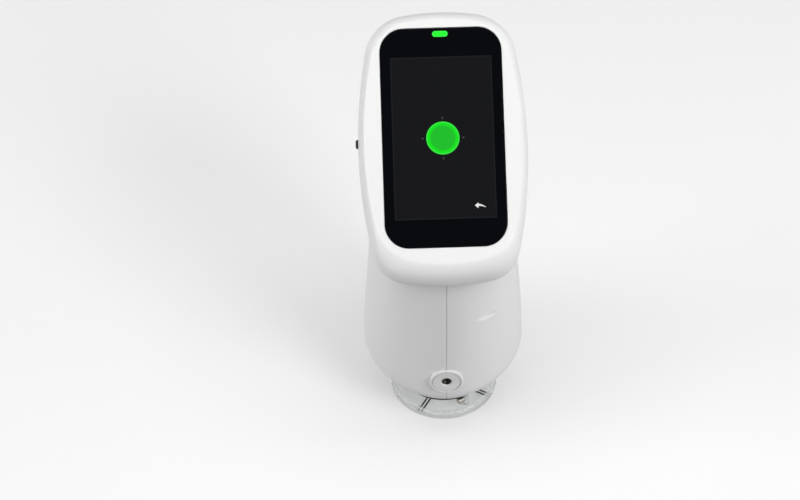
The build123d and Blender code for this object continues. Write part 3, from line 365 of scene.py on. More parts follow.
def even_rays(shape, count):
    """Directions that step evenly round a shape's edge, so that its corners get their share."""
    fine = np.linspace(0, 2 * pi, 20 * count + 1)
    edge = shape(fine)[:, None] * np.stack([np.cos(fine), np.sin(fine)], axis=1)
    run = np.concatenate([[0], np.cumsum(np.linalg.norm(np.diff(edge, axis=0), axis=1))])
    return np.interp(np.linspace(0, run[-1], count + 1)[:-1], run, fine)


def on_face(radius, angles, up, depth):
    """Points of an outline on a plane below the display face."""
    middle = FACE_MIDDLE + up * UPWARDS - depth * OUTWARDS
    return middle + np.outer(radius * np.cos(angles), ACROSS) + np.outer(radius * np.sin(angles), UPWARDS)


def unit(vector):
    """The same direction at length 1."""
    return vector / np.linalg.norm(vector)


def soften(corners):
    """Closed profile through corners (a, b, radius), each rounded by its radius."""
    points = []
    for number, (first, second, radius) in enumerate(corners):
        here = np.array([first, second])
        if not radius:
            points.append(here)
            continue
        before = unit(np.array(corners[number - 1][:2]) - here)
        after = unit(np.array(corners[(number + 1) % len(corners)][:2]) - here)
        half = acos(np.dot(before, after)) / 2
        reach = radius / tan(half)
        middle = here + unit(before + after) * radius / sin(half)
        start, stop = here + before * reach - middle, here + after * reach - middle
        sweep = pi - 2 * half
        points.append(here + before * reach * 1.5)
        for share in np.linspace(0, 1, 6):
            spoke = sin((1 - share) * sweep) * start + sin(share * sweep) * stop
            points.append(middle + spoke / sin(sweep))
        points.append(here + after * reach * 1.5)
    return np.array(points)


# ---- meshes ----

def grid(name, rows, join_rows=False):
    """Surface over rings of points in millimetres, welded and smoothed; its last row may join the first."""
    rows = np.asarray(rows, float)
    rows = np.concatenate([rows, rows[:, :1]], axis=1)
    if join_rows:
        rows = np.concatenate([rows, rows[:1]], axis=0)
    bpy.ops.mesh.primitive_grid_add(x_subdivisions=rows.shape[1] - 1, y_subdivisions=rows.shape[0] - 1)
    piece = bpy.context.active_object
    piece.name = piece.data.name = name
    piece.data.vertices.foreach_set("co", (rows * MM).ravel())
    edit_all(piece, lambda: (
        bpy.ops.mesh.remove_doubles(threshold=WELD),
        bpy.ops.mesh.normals_make_consistent(inside=False),
    ))
    return smooth(piece)


def capped(rows):
    """The same rows with a point at both ends, which closes their surface."""
    first, last = (np.repeat(np.mean(row, axis=0)[None], len(row), axis=0) for row in (rows[0], rows[-1]))
    return [first, *rows, last]


def edit_all(piece, change):
    """Runs edit-mode operators on a whole mesh."""
    select(piece)
    bpy.ops.object.mode_set(mode="EDIT")
    bpy.ops.mesh.select_all(action="SELECT")
    change()
    bpy.ops.object.mode_set(mode="OBJECT")


def select(piece):
    """Makes a piece the only selected object and the active one."""
    bpy.ops.object.select_all(action="DESELECT")
    piece.hide_viewport = False
    piece.select_set(True)
    bpy.context.view_layer.objects.active = piece


def smooth(piece):
    """Shades a piece smoothly, but for its sharp edges."""
    select(piece)
    bpy.ops.object.shade_smooth_by_angle(angle=SMOOTH_ANGLE)
    return piece


def modify(piece, kind, **settings):
    """Adds a modifier and applies it."""
    select(piece)
    bpy.ops.object.modifier_add(type=kind)
    modifier = piece.modifiers[-1]
    for key, value in settings.items():
        setattr(modifier, key, value)
    bpy.ops.object.modifier_apply(modifier=modifier.name)
    return piece


def combine(piece, other, operation):
    """Boolean of a piece with a helper solid, which is then removed."""
    modify(piece, "BOOLEAN", operation=operation, object=other, solver="EXACT")
    bpy.data.objects.remove(other)
    return piece


def lathe(name, profile, place=(0, 0, 0), axis=(0, 0, 1), steps=96):
    """Closed profile of (radius, height) points turned round an axis."""
    axis = unit(np.array(axis, float))
    side = unit(np.cross(axis, (1, 0, 0) if abs(axis[0]) < 0.9 else (0, 1, 0)))
    other = np.cross(axis, side)
    turns = np.linspace(0, 2 * pi, steps, endpoint=False)
    ring = np.outer(np.cos(turns), side) + np.outer(np.sin(turns), other)
    rows = [np.array(place) + height * axis + radius * ring for radius, height in profile]
    return grid(name, rows, join_rows=True)


def peg(radius, start, stop):
    """Helper cylinder between two points, in millimetres."""
    start, stop = np.array(start, float), np.array(stop, float)
    length = np.linalg.norm(stop - start)
    return lathe("helper", [(0, 0), (radius, 0), (radius, length), (0, length)], start, stop - start, 72)


def slab(name, outline, thickness, edge):
    """Plate under an outline function of (inset, depth), with rounded edges at top and bottom."""
    turns = np.linspace(0, pi / 2, 5)
    rows = [outline(edge * 1.6, 0)]
    rows += [outline(edge * (1 - sin(turn)), edge * (1 - cos(turn))) for turn in turns]
    rows += [outline(edge * (1 - cos(turn)), thickness - edge * (1 - sin(turn))) for turn in turns]
    rows += [outline(edge * 1.6, thickness)]
    return grid(name, capped(rows))


def smoothed(node, name, bevel=0.0):
    """Merged and smoothly shaded copy of a CAD node, which it stands for."""
    source = frame["nodes"][node]
    piece = bpy.data.objects.new(name, source.data.copy())
    bpy.context.scene.collection.objects.link(piece)
    edit_all(piece, lambda: (
        bpy.ops.mesh.remove_doubles(threshold=2e-6),
        bpy.ops.mesh.dissolve_limited(angle_limit=radians(0.5)),
        bpy.ops.mesh.normals_make_consistent(inside=False),
    ))
    if bevel:
        modify(piece, "BEVEL", width=bevel * MM, segments=3, limit_method="ANGLE", angle_limit=radians(50))
    return settle(smooth(piece), node)


def settle(piece, *nodes, look=None):
    """Hangs a piece on the body of the CAD nodes it stands for, with their material slot."""
    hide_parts(*nodes)
    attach(piece, frame["nodes"][nodes[0]]["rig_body"])
    dress(piece, look or LOOKS[SLOT_OF[nodes[0]]]())
    return piece


def dress(piece, material):
    """Gives a piece this material alone."""
    piece.data.materials.clear()
    piece.data.materials.append(material)


# ---- shader arithmetic ----

class Field:
    """One output in a node tree, so that shader arithmetic reads as arithmetic."""

    def __init__(self, tree, socket):
        self.tree = tree
        self.socket = socket

    def math(self, operation, *others):
        return wire(self.tree, "ShaderNodeMath", (self, *others), operation=operation)

    def __add__(self, other):
        return self.math("ADD", other)

    def __sub__(self, other):
        return self.math("SUBTRACT", other)

    def __mul__(self, other):
        return self.math("MULTIPLY", other)

    def __truediv__(self, other):
        return self.math("DIVIDE", other)

    def __rsub__(self, other):
        return wire(self.tree, "ShaderNodeMath", (other, self), operation="SUBTRACT")

    __radd__ = __add__
    __rmul__ = __mul__

    def __abs__(self):
        return self.math("ABSOLUTE")

    def step(self, low, high):
        """Smooth rise from 0 at low to 1 at high; falls if low is the larger."""
        start, stop, bottom, top = (low, high, 0.0, 1.0) if low < high else (high, low, 1.0, 0.0)
        return wire(self.tree, "ShaderNodeMapRange", (self, start, stop, bottom, top),
                    interpolation_type="SMOOTHSTEP")


def wire(tree, kind, inputs, output=0, **settings):
    """New node: settings, then inputs by number or name, linked from fields or set to constants."""
    node = tree.nodes.new(kind)
    for key, value in settings.items():
        setattr(node, key, value)
    for socket, value in inputs.items() if isinstance(inputs, dict) else enumerate(inputs):
        if isinstance(value, Field):
            tree.links.new(value.socket, node.inputs[socket])
        else:
            node.inputs[socket].default_value = value
    return Field(tree, node.outputs[output])


def blend(tree, share, first, second):
    """Mix of two colours."""
    first, second = (value if isinstance(value, Field) else (*value, 1.0) for value in (first, second))
    return wire(tree, "ShaderNodeMix", {0: share, 6: first, 7: second}, output=2, data_type="RGBA")


def noise(tree, place, scale, detail):
    """Factor of a noise texture on a position."""
    return wire(tree, "ShaderNodeTexNoise", {"Vector": place, "Scale": scale, "Detail": detail})


def bumpy(tree, strength, depth, height):
    """Normal of a relief with this depth in millimetres."""
    return wire(tree, "ShaderNodeBump", {"Strength": strength, "Distance": depth * MM, "Height": height})


def new_look(name, **constants):
    """Material with its shader's constants, and the tree, shader and object position to work with."""
    material = bpy.data.materials.new(name)
    material.use_nodes = True
    tree = material.node_tree
    shader = tree.nodes["Principled BSDF"]
    for socket, value in constants.items():
        shader.inputs[socket.replace("_", " ")].default_value = value
    place = wire(tree, "ShaderNodeTexCoord", {}, output=3)
    return material, tree, shader, place


def feed(tree, shader, **fields):
    """Links fields to the shader's sockets, named with underscores."""
    for socket, field in fields.items():
        tree.links.new(field.socket, shader.inputs[socket.replace("_", " ")])


def surface(name, colour, roughness, grain, mottle, **constants):
    """Moulded, cast or turned finish.

    grain is the scale and depth in mm of its fine relief, mottle the scale and share of its change in tone.
    """
    material, tree, shader, place = new_look(name, **constants)
    grain_scale, grain_depth = grain
    mottle_scale, mottle_share = mottle
    tone = noise(tree, place, mottle_scale, 3.0)
    low = tuple(channel * (1 - mottle_share) for channel in colour)
    high = tuple(min(1.0, channel * (1 + mottle_share)) for channel in colour)
    bump = bumpy(tree, 0.6, grain_depth, noise(tree, place, grain_scale, 4.0))
    feed(tree, shader, Base_Color=blend(tree, tone, low, high),
         Roughness=roughness * (0.9 + 0.2 * tone), Normal=bump)
    return material


def once(maker):
    """Each look is made once and shared by its pieces."""
    made = {}

    def get():
        if maker not in made:
            made[maker] = maker()
        return made[maker]
    return get


def settings():
    """The add-on's settings in the open scene."""
    return bpy.context.scene.colorimeter


def white_plastic():
    """The mouldings: satin plastic under a thin gloss."""
    casing = settings().casing
    return surface(
        "white plastic", tuple(casing.colour), casing.roughness, (1600.0, 0.004), (25.0, 0.006),
        Specular_IOR_Level=0.5, Coat_Weight=0.05, Coat_Roughness=0.25)


def clear_acrylic():
    """The dish: polished clear plastic."""
    return surface(
        "clear acrylic", (0.93, 0.97, 0.95), 0.02, (700.0, 0.0015), (80.0, 0.01),
        Transmission_Weight=1.0, IOR=1.49, Alpha=0.5)


def sawn_acrylic():
    """The posts: clear rod with a satin skin."""
    return surface(
        "satin acrylic", (0.95, 0.98, 0.96), 0.18, (900.0, 0.004), (120.0, 0.02),
        Transmission_Weight=0.6, IOR=1.49, Alpha=0.8)


def steel_painted_bore_shade():
    """The threaded bush: steel made far darker than bare steel, which paints the shade deep inside the bore.
    """
    return surface("dark steel", (0.1, 0.095, 0.085), 0.34, (700.0, 0.006), (140.0, 0.15), Metallic=1.0)


def board_green():
    """Solder mask over traces, with pads."""
    material, tree, shader, place = new_look("solder mask", Specular_IOR_Level=0.6)
    cells = wire(tree, "ShaderNodeTexVoronoi", {"Vector": place, "Scale": 420.0}, feature="DISTANCE_TO_EDGE")
    pads = wire(tree, "ShaderNodeTexVoronoi", {"Vector": place, "Scale": 260.0}).step(0.22, 0.18)
    traces = cells.step(0.09, 0.05)
    mask = blend(tree, traces, (0.02, 0.16, 0.07), (0.05, 0.28, 0.12))
    bump = bumpy(tree, 0.5, 0.03, traces + pads)
    feed(tree, shader, Base_Color=blend(tree, pads, mask, (0.75, 0.66, 0.42)),
         Roughness=0.35 - 0.1 * pads, Metallic=pads, Normal=bump)
    return material


def cell_wrap():
    """Shrink wrap with a paler band round its middle height, in millimetres."""
    band_z, band_reach = 150.0, 4.0
    material, tree, shader, place = new_look("shrink wrap", Coat_Weight=0.4)
    height = wire(tree, "ShaderNodeSeparateXYZ", (place,), output=2) / MM
    band = abs(height - band_z).step(band_reach, band_reach - 0.2)
    wrinkles = noise(tree, place, 220.0, 3.0)
    bump = bumpy(tree, 0.4, 0.05, wrinkles)
    feed(tree, shader, Base_Color=blend(tree, band, (0.05, 0.2, 0.5), (0.85, 0.86, 0.86)),
         Roughness=0.3 + 0.1 * wrinkles, Normal=bump)
    return material


def grooved_mirror():
    """Front surface mirror with very fine rulings."""
    material, tree, shader, place = new_look("mirror coat", Metallic=1.0)
    lines = wire(tree, "ShaderNodeTexWave", {"Vector": place, "Scale": 9000.0, "Distortion": 0.0}, output=1)
    bump = bumpy(tree, 0.1, 0.001, lines)
    feed(tree, shader, Base_Color=blend(tree, lines, (0.84, 0.86, 0.9), (0.9, 0.9, 0.88)),
         Roughness=0.03 + 0.03 * lines, Normal=bump)
    return material


def face_position(tree, place):
    """Position in the display's own plane, in millimetres: across and upwards."""
    split = [wire(tree, "ShaderNodeSeparateXYZ", (place,), output=axis) / MM for axis in range(3)]
    up = (split[1] - FACE_MIDDLE[1]) * cos(HEAD_TILT) + (split[2] - FACE_MIDDLE[2]) * sin(HEAD_TILT)
    return split[0], up


def target_picture(tree, across, up, picture):
    """The aiming target over a picture: soft halo, bright rim, dotted middle and four ticks."""
    display = settings().display
    radius, tick_distance = display.target_radius, display.tick_distance
    middle_radius = radius - display.target_ring
    from_middle, above_middle = across - TARGET_ACROSS, up - TARGET_UP
    distance = (from_middle * from_middle + above_middle * above_middle).math("SQRT")
    target = distance.step(radius + 0.12, radius - 0.12)
    inner = distance.step(middle_radius + 0.35, middle_radius - 0.35)
    rim = distance.step(radius - 0.9, radius)
    halo = distance.step(radius + 0.8, radius)
    dots = ((across * 9.0).math("SINE") * (up * 9.0).math("SINE")).step(-0.6, 0.8)
    near = abs(from_middle).math("MINIMUM", abs(above_middle))
    far = abs(from_middle).math("MAXIMUM", abs(above_middle))
    ticks = near.step(0.4, 0.15) * abs(far - tick_distance).step(0.65, 0.3)
    picture = blend(tree, halo, picture, (0.001, 0.012, 0.001))
    fill = blend(tree, dots, (0.010, 0.45, 0.020), (0.020, 0.60, 0.028))
    bright = blend(tree, rim, tuple(display.green), (0.06, 0.86, 0.08))
    picture = blend(tree, target, picture, blend(tree, inner, bright, fill))
    return blend(tree, ticks, picture, (0.07, 0.07, 0.06))


def return_arrow(across, up):
    """Mask of the arrow: a pointed head, and a tail that bows and thins."""
    along, above = across - ARROW_ACROSS, up - ARROW_UP
    head = (along * 0.83 - abs(above)).step(-0.08, 0.12) * along.step(1.62, 1.5)
    tail_place = along - 1.4
    bow = 0.2 - 0.09 * tail_place * tail_place
    tail = (0.56 - 0.12 * tail_place - abs(above - bow)).step(-0.08, 0.12)
    return head.math("MAXIMUM", tail * along.step(1.3, 1.4) * along.step(4.9, 4.7))


def display_glass():
    """Black cover glass with the lit picture under it."""
    display = settings().display
    material, tree, shader, place = new_look("cover glass", Specular_IOR_Level=0.5, Emission_Strength=1.0)
    across, up = face_position(tree, place)
    edge = (display.screen_width / 2 - abs(across)).math("MINIMUM", display.screen_length / 2 - abs(up))
    lit = edge.step(-0.08, 0.08)
    frame_line = edge.step(0.75, 0.35)
    picture = blend(tree, frame_line, (0.0066, 0.0066, 0.0064), (0.0115, 0.0118, 0.0145))
    picture = target_picture(tree, across, up, picture)
    picture = blend(tree, return_arrow(across, up), picture, (0.85, 0.85, 0.85))
    smudge = noise(tree, place, 30.0, 3.0)
    feed(tree, shader, Base_Color=blend(tree, smudge, (0.0018, 0.0021, 0.0034), (0.0024, 0.0027, 0.0038)),
         Emission_Color=blend(tree, lit, (0.0, 0.0, 0.0), picture), Roughness=0.04 + 0.05 * smudge)
    return material


def lit_green():
    """Light guide: brightest along its middle."""
    material, tree, shader, place = new_look("green light", Roughness=0.2, Emission_Strength=1.0)
    across, up = face_position(tree, place)
    straight = (PIPE_WIDTH - PIPE_HEIGHT) / 2
    beyond = abs(across).math("MAXIMUM", straight) - straight
    off_middle = ((up - PIPE_UP) * (up - PIPE_UP) + beyond * beyond).math("SQRT")
    streaks = noise(tree, place, 1500.0, 2.0)
    core = tuple(0.92 * channel for channel in settings().display.green)
    glow = blend(tree, off_middle.step(0.7, 1.5), core, (0.05, 0.72, 0.07))
    base = blend(tree, streaks, (0.01, 0.2, 0.02), (0.02, 0.3, 0.03))
    feed(tree, shader, Emission_Color=glow, Base_Color=base)
    return material


LOOKS = {slot: once(maker) for slot, maker in {
    "white_plastic": white_plastic,
    "dark_plastic": lambda: surface(
        "dark plastic", (0.035, 0.035, 0.038), 0.5, (1500.0, 0.006), (50.0, 0.1)),
    "seal_grey": lambda: surface("seal", (0.12, 0.12, 0.12), 0.75, (1200.0, 0.02), (90.0, 0.08)),
    "label_film": lambda: surface("label film", (0.88, 0.88, 0.87), 0.3, (500.0, 0.003), (40.0, 0.012)),
    "black_glass": display_glass,
    "green_light": lit_green,
    "screen": lambda: surface("picture module", (0.03, 0.03, 0.03), 0.2, (2000.0, 0.002), (30.0, 0.1)),
    "board_green": board_green,
    "steel": lambda: surface("steel", (0.36, 0.35, 0.32), 0.42, (900.0, 0.006), (90.0, 0.12), Metallic=1.0),
    "brass": lambda: surface("brass", (0.72, 0.55, 0.27), 0.3, (900.0, 0.004), (90.0, 0.08), Metallic=1.0),
    "aluminium": lambda: surface(
        "aluminium", (0.7, 0.71, 0.72), 0.4, (1600.0, 0.01), (60.0, 0.05), Metallic=1.0),
    "sphere_white": lambda: surface("diffuse white", (0.94, 0.94, 0.93), 0.95, (900.0, 0.02), (50.0, 0.01)),
    "clear_acrylic": clear_acrylic,
    "mark_black": lambda: surface("ink", (0.012, 0.02, 0.014), 0.5, (1200.0, 0.004), (300.0, 0.2)),
    "optic_glass": lambda: surface(
        "optic glass", (0.9, 0.95, 0.97), 0.02, (400.0, 0.0005), (60.0, 0.01), Transmission_Weight=1.0),
    "mirror_coat": grooved_mirror,
    "cell_wrap": cell_wrap,
    "ribbon": lambda: surface("polyimide", (0.7, 0.34, 0.07), 0.3, (500.0, 0.01), (250.0, 0.12)),
    "rubber": lambda: surface("white rubber", (0.78, 0.785, 0.78), 0.55, (1500.0, 0.01), (60.0, 0.015)),
    "chip_black": lambda: surface("chips", (0.03, 0.03, 0.032), 0.45, (1100.0, 0.008), (200.0, 0.12)),
}.items()}


# ---- head ----

def head_rays():
    """Directions that suit the corners of the cover glass, for all rings of the head."""
    return even_rays(
        lambda rays: rectangle_radius(rays, GLASS_WIDTH / 2, GLASS_LENGTH / 2, GLASS_CORNER),
        settings().casing.columns)


def head_ring(rays, depth, share, inset):
    """Outline of the head at a depth; share 1 is the crease at the edge of the face."""
    side, top, lip = (size * share for size in (FACE_SIDE_ROUND, FACE_TOP_ROUND, FACE_LIP_ROUND))
    half_length = HEAD_HALF_LENGTH - (lip + top) / 2
    radius = head_radius(rays, HEAD_HALF_WIDTH - side - inset, half_length - inset, inset + side, share)
    return on_face(radius, rays, (lip - top) / 2 - HEAD_DROP, depth)


def head_side(rays, top_depth, inset, steps):
    """Rings from the rim up round the border to the crease at the face."""
    rings = [head_ring(rays, depth, 0.0, inset) for depth in HEAD_SIDE_DEPTHS]
    for turn in np.linspace(pi / 2, FACE_CREASE, steps):
        share = (1 - sin(turn)) / (1 - sin(FACE_CREASE))
        drop = (cos(FACE_CREASE) - cos(turn)) / cos(FACE_CREASE)
        rings.append(head_ring(rays, top_depth + (FACE_ROUND_DEPTH - top_depth) * drop, share, inset))
    return rings


def glass_ring(rays, grow, depth):
    """Outline of the cover glass, grown all round, at a depth."""
    radius = rectangle_radius(
        rays, GLASS_WIDTH / 2 + grow, GLASS_LENGTH / 2 + grow, GLASS_CORNER + grow)
    return on_face(radius, rays, GLASS_OFFSET, depth)


def between(first, second, shares):
    """Rows at these shares of the way from one row to another."""
    return [first + (second - first) * share for share in shares]


def make_head_cover():
    """Head shell: rim, soft border, crease, face, glass recess and shelf, and back inside."""
    rays = head_rays()
    edge, rim_edge = settings().casing.edge, settings().casing.rim_edge
    rows = [
        head_ring(rays, HEAD_RIM_DEPTH - rim_edge * (1 - cos(turn)), 0, rim_edge * (1 - sin(turn)))
        for turn in np.linspace(0, pi / 2, 8)]
    rows += head_side(rays, 0.0, 0.0, 18)
    brink = glass_ring(rays, GLASS_GAP + edge, 0)
    rows += between(rows[-1], brink, (0.05, 0.35, 0.7, 0.96))
    rows += [glass_ring(rays, GLASS_GAP + edge * (1 - sin(turn)), edge * (1 - cos(turn)))
             for turn in np.linspace(0, pi / 2, 5)]
    rows.append(glass_ring(rays, GLASS_GAP, GLASS_BACK))
    window = rectangle_radius(rays, WINDOW_WIDTH / 2, WINDOW_LENGTH / 2, WINDOW_CORNER)
    rows += [on_face(window, rays, 0, depth) for depth in (GLASS_BACK, FACE_THICKNESS)]
    rows += head_side(rays, FACE_THICKNESS, WALL, 8)[::-1]
    rows.append(head_ring(rays, HEAD_RIM_DEPTH, 0, WALL))
    cover = grid("head_cover_shell", rows, join_rows=True)
    return settle(combine(cover, slot_box(), "DIFFERENCE"), "head_cover")


def slot_box():
    """Helper solid of the slot for the power knob."""
    rays = np.radians(np.arange(0, 360, 5) + 2.5)
    radius = rectangle_radius(
        rays, KNOB_HEIGHT / 2 + KNOB_GAP, (KNOB_LENGTH + KNOB_TRAVEL) / 2 + KNOB_GAP, KNOB_SLOT_CORNER)
    middle = FACE_MIDDLE + (KNOB_UP - KNOB_TRAVEL / 2) * UPWARDS - KNOB_DEPTH * OUTWARDS
    ring = middle + np.outer(radius * np.cos(rays), OUTWARDS) + np.outer(radius * np.sin(rays), UPWARDS)
    ends = [ring - ACROSS * (HEAD_HALF_WIDTH + reach) for reach in (WALL, -1.5 * WALL)]
    return grid("helper", capped(ends))


def make_glass():
    """Cover glass with rounded edges, a little below the face."""
    rays = head_rays()
    glass = slab(
        "cover_glass", lambda inset, depth: glass_ring(rays, -inset, GLASS_TOP + depth),
        GLASS_BACK - GLASS_TOP, GLASS_EDGE)
    return settle(glass, "touch_glass")


def make_light_guide():
    """Lozenge that shows through the glass; its foot stays behind the cover."""
    rays = even_rays(
        lambda rays: rectangle_radius(rays, PIPE_WIDTH / 2, PIPE_HEIGHT / 2, PIPE_CORNER), 72)

    def outline(inset, depth):
        radius = rectangle_radius(rays, PIPE_WIDTH / 2 - inset, PIPE_HEIGHT / 2 - inset, PIPE_CORNER - inset)
        return on_face(radius, rays, PIPE_UP, GLASS_TOP - PIPE_PROUD + depth)

    return settle(slab("status_light", outline, PIPE_BACK - GLASS_TOP, PIPE_EDGE), "light_pipe")


# ---- body ----

def station_frames():
    """Origin and direction of length of each station, with its sizes."""
    frames = []
    for front_y, front_z, back_y, back_z, width, front, turn in BODY_STATIONS:
        start, stop = np.array([0, front_y, front_z]), np.array([0, back_y, back_z])
        along = unit(stop - start)
        back = np.linalg.norm(stop - start) - front
        frames.append((start + along * front, along, width, front, back, turn))
    rim = FACE_MIDDLE + BODY_RIM_UP * UPWARDS - (HEAD_RIM_DEPTH + SHADOW_GAP) * OUTWARDS
    length = HEAD_HALF_LENGTH - RIM_STEP - (BODY_RIM_UP + HEAD_DROP)
    frames.append((rim, UPWARDS, HEAD_HALF_WIDTH - RIM_STEP, length, length, 1.0))
    return frames


def station_rings(angles, inset):
    """Outline of the body at each station, moved in by inset."""
    rings = []
    for origin, along, width, front, back, turn in station_frames():
        length = np.where(np.sin(angles) > 0, back, front) - inset
        power = np.where(np.sin(angles) < 0, BODY_FRONT_POWER, BODY_BACK_POWER)
        radius = (1 - turn) * lame_radius(angles, width - inset, length, power)
        if turn:
            far = np.sin(angles) > 0
            for part, size in ((far, back), (~far, front)):
                radius[part] += turn * head_radius(angles[part], width - inset, size - inset, inset)
        across = np.outer(radius * np.cos(angles), ACROSS)
        rings.append(origin + across + np.outer(radius * np.sin(angles), along))
    return np.array(rings)


def spline(knots, values, places):
    """Natural cubic spline through values at knots, read at places."""
    steps = np.diff(knots)
    slopes = [(values[row + 1] - values[row]) / steps[row] for row in range(len(steps))]
    system = np.eye(len(knots))
    target = np.zeros_like(values)
    for row in range(1, len(knots) - 1):
        system[row, row - 1:row + 2] = steps[row - 1], 2 * (steps[row - 1] + steps[row]), steps[row]
        target[row] = 6 * (slopes[row] - slopes[row - 1])
    bend = np.linalg.solve(system, target.reshape(len(knots), -1)).reshape(values.shape)
    found = []
    for place in places:
        row = min(max(np.searchsorted(knots, place) - 1, 0), len(steps) - 1)
        step = steps[row]
        low, high = (knots[row + 1] - place) / step, (place - knots[row]) / step
        found.append(low * values[row] + high * values[row + 1] + step ** 2 / 6 * (
            (low ** 3 - low) * bend[row] + (high ** 3 - high) * bend[row + 1]))
    return np.array(found)


def station_knots():
    """Distance along the skin from station to station, averaged round the body."""
    rings = station_rings(np.radians(np.arange(0, 360, 10.0)), 0.0)
    steps = np.linalg.norm(np.diff(rings, axis=0), axis=2).mean(axis=1)
    return np.concatenate([[0], np.cumsum(steps)])


def body_rows(depth, angles):
    """Rows on the skin moved in by depth: down the wall, round the bottom edge, in to the opening."""
    knots = station_knots()
    fine = np.linspace(0, knots[2], 60)
    heights = spline(knots, station_rings(np.array([-pi / 2]), 0.0)[:, 0, 2], fine)
    foot = np.interp(BODY_BOTTOM_Z + BODY_BOTTOM_ROUND, heights, fine)
    rows = list(spline(knots, station_rings(angles, depth), np.linspace(knots[-1], foot, 72)))
    radius = BODY_BOTTOM_ROUND - depth
    for turn in np.linspace(0, pi / 2, 12)[1:]:
        height = BODY_BOTTOM_Z + BODY_BOTTOM_ROUND - radius * sin(turn)
        place = np.interp(height, heights, fine)
        ring = spline(knots, station_rings(angles, BODY_BOTTOM_ROUND - radius * cos(turn)), [place])[0]
        ring[:, 2] = height
        rows.append(ring)
    opening = np.stack([
        BASE_OPENING * np.cos(angles), BASE_OPENING * np.sin(angles),
        np.full(len(angles), BODY_BOTTOM_Z + depth)], axis=1)
    return np.array(rows + between(rows[-1], opening, (0.08, 0.5, 1.0)))


def half_shell(name, side):
    """One body half: skin, seam groove and inner wall as one closed surface."""
    casing = settings().casing
    angles = np.linspace(-pi / 2, pi / 2, casing.columns // 2 + 1)
    ends = np.array([-pi / 2, pi / 2])
    groove = casing.seam_width / 2
    edge = casing.edge
    bend = 0.3 * edge

    def held(rows, least):
        rows = rows.copy()
        rows[:, :, 0] = np.maximum(rows[:, :, 0], least)
        return rows

    outer = held(body_rows(0.0, angles), groove + edge)
    inner = held(body_rows(WALL, angles), HALF_GAP)
    brink = held(body_rows(edge, ends), groove)
    lip = held(body_rows(bend, ends), groove + bend)
    floor = body_rows(casing.seam_depth, ends)
    wide, narrow = held(floor, groove), held(floor, HALF_GAP)
    front, back = slice(0, 1), slice(1, 2)
    loops = np.concatenate([
        outer, lip[:, back], brink[:, back], wide[:, back], narrow[:, back], inner[:, ::-1],
        narrow[:, front], wide[:, front], brink[:, front], lip[:, front],
    ], axis=1)
    caps = []
    for row in (0, -1):
        middle = (outer[row] + inner[row]) / 2
        caps.append(np.concatenate([
            middle, np.repeat(middle[-1:], 4, axis=0), middle[::-1], np.repeat(middle[:1], 4, axis=0)]))
    loops = np.concatenate([[caps[0]], loops, [caps[1]]])
    loops[:, :, 0] *= side
    return grid(name, loops)


def body_core(depth):
    """Solid inside the skin moved in by depth, to trim the screw bosses."""
    angles = np.linspace(0, 2 * pi, 120, endpoint=False)
    return grid("helper", capped(body_rows(depth, angles)[:-3]))


def scoop():
    """Helper of the strap dimple: a flat floor between steep sides, deeper to the right."""
    along = np.array([cos(SCOOP_TURN), sin(SCOOP_TURN), -SCOOP_SLOPE])
    out = np.array([sin(SCOOP_TURN), -cos(SCOOP_TURN), 0])
    across = np.linspace(0, 1, 13)
    hollow = np.minimum(2.4 * np.sin(pi * across), 1)
    rows = []
    for place in np.linspace(-1, 1, 29):
        size = max(1 - place ** 2, 0.01)
        reach = place * SCOOP_LENGTH / 2
        middle = SCOOP_MIDDLE + reach * along - reach ** 2 / (2 * SCOOP_BEND) * out
        half = SCOOP_HEIGHT / 2 * size ** 0.6
        depth = SCOOP_DEPTH * size * (1 + SCOOP_MORE_DEPTH * place)
        floor = np.outer(SCOOP_PROUD - depth * hollow, out)
        floor[:, 2] += half * (1 - 2 * across)
        lid = [2 * out + np.array([0, 0, -half]), 2 * out + np.array([0, 0, half])]
        rows.append(middle + np.concatenate([floor, lid]))
    return grid("helper", capped(rows))


def flap_hole():
    """Helper prism of the socket's opening."""
    rays = np.radians(np.arange(0, 360, 4) + 2.0)
    corner = np.where(np.cos(rays) > 0, FLAP_CORNER, FLAP_HINGE_CORNER)
    radius = rectangle_radius(rays, FLAP_WIDTH / 2 + FLAP_GAP, FLAP_HEIGHT / 2 + FLAP_GAP, corner)
    ring = np.stack([radius * np.cos(rays), rays * 0, FLAP_Z + radius * np.sin(rays)], axis=1)
    return grid("helper", capped([ring + np.array([0, y, 0]) for y in FLAP_HOLE_Y]))


def make_body_half(node, side):
    """One body half with its screw bosses, and with its share of the openings cut out."""
    half = half_shell(f"{node}_shell", side)
    for y, z in CASE_SCREWS:
        boss = peg(BOSS_RADIUS, (side * HALF_GAP, y, z), (side * BOSS_END_X, y, z))
        combine(half, combine(boss, body_core(BOSS_COVER), "INTERSECT"), "UNION")
        if side > 0:
            combine(half, peg(SCREW_HEAD, (SCREW_SHOULDER, y, z), (OUTSIDE_X, y, z)), "DIFFERENCE")
    pegs = (
        (SOCKET_RADIUS + SOCKET_GAP, SOCKET_Z, (SOCKET_FACE_Y - 1, SOCKET_HOLE_END_Y)),
        (BUTTON_RADIUS + BUTTON_GAP, BUTTON_Z, BUTTON_HOLE_Y))
    for radius, z, (start, stop) in pegs:
        combine(half, peg(radius, (0, start, z), (0, stop, z)), "DIFFERENCE")
    combine(half, flap_hole(), "DIFFERENCE")
    if side > 0:
        combine(half, scoop(), "DIFFERENCE")
    return settle(smooth(half), node)


# ---- controls ----

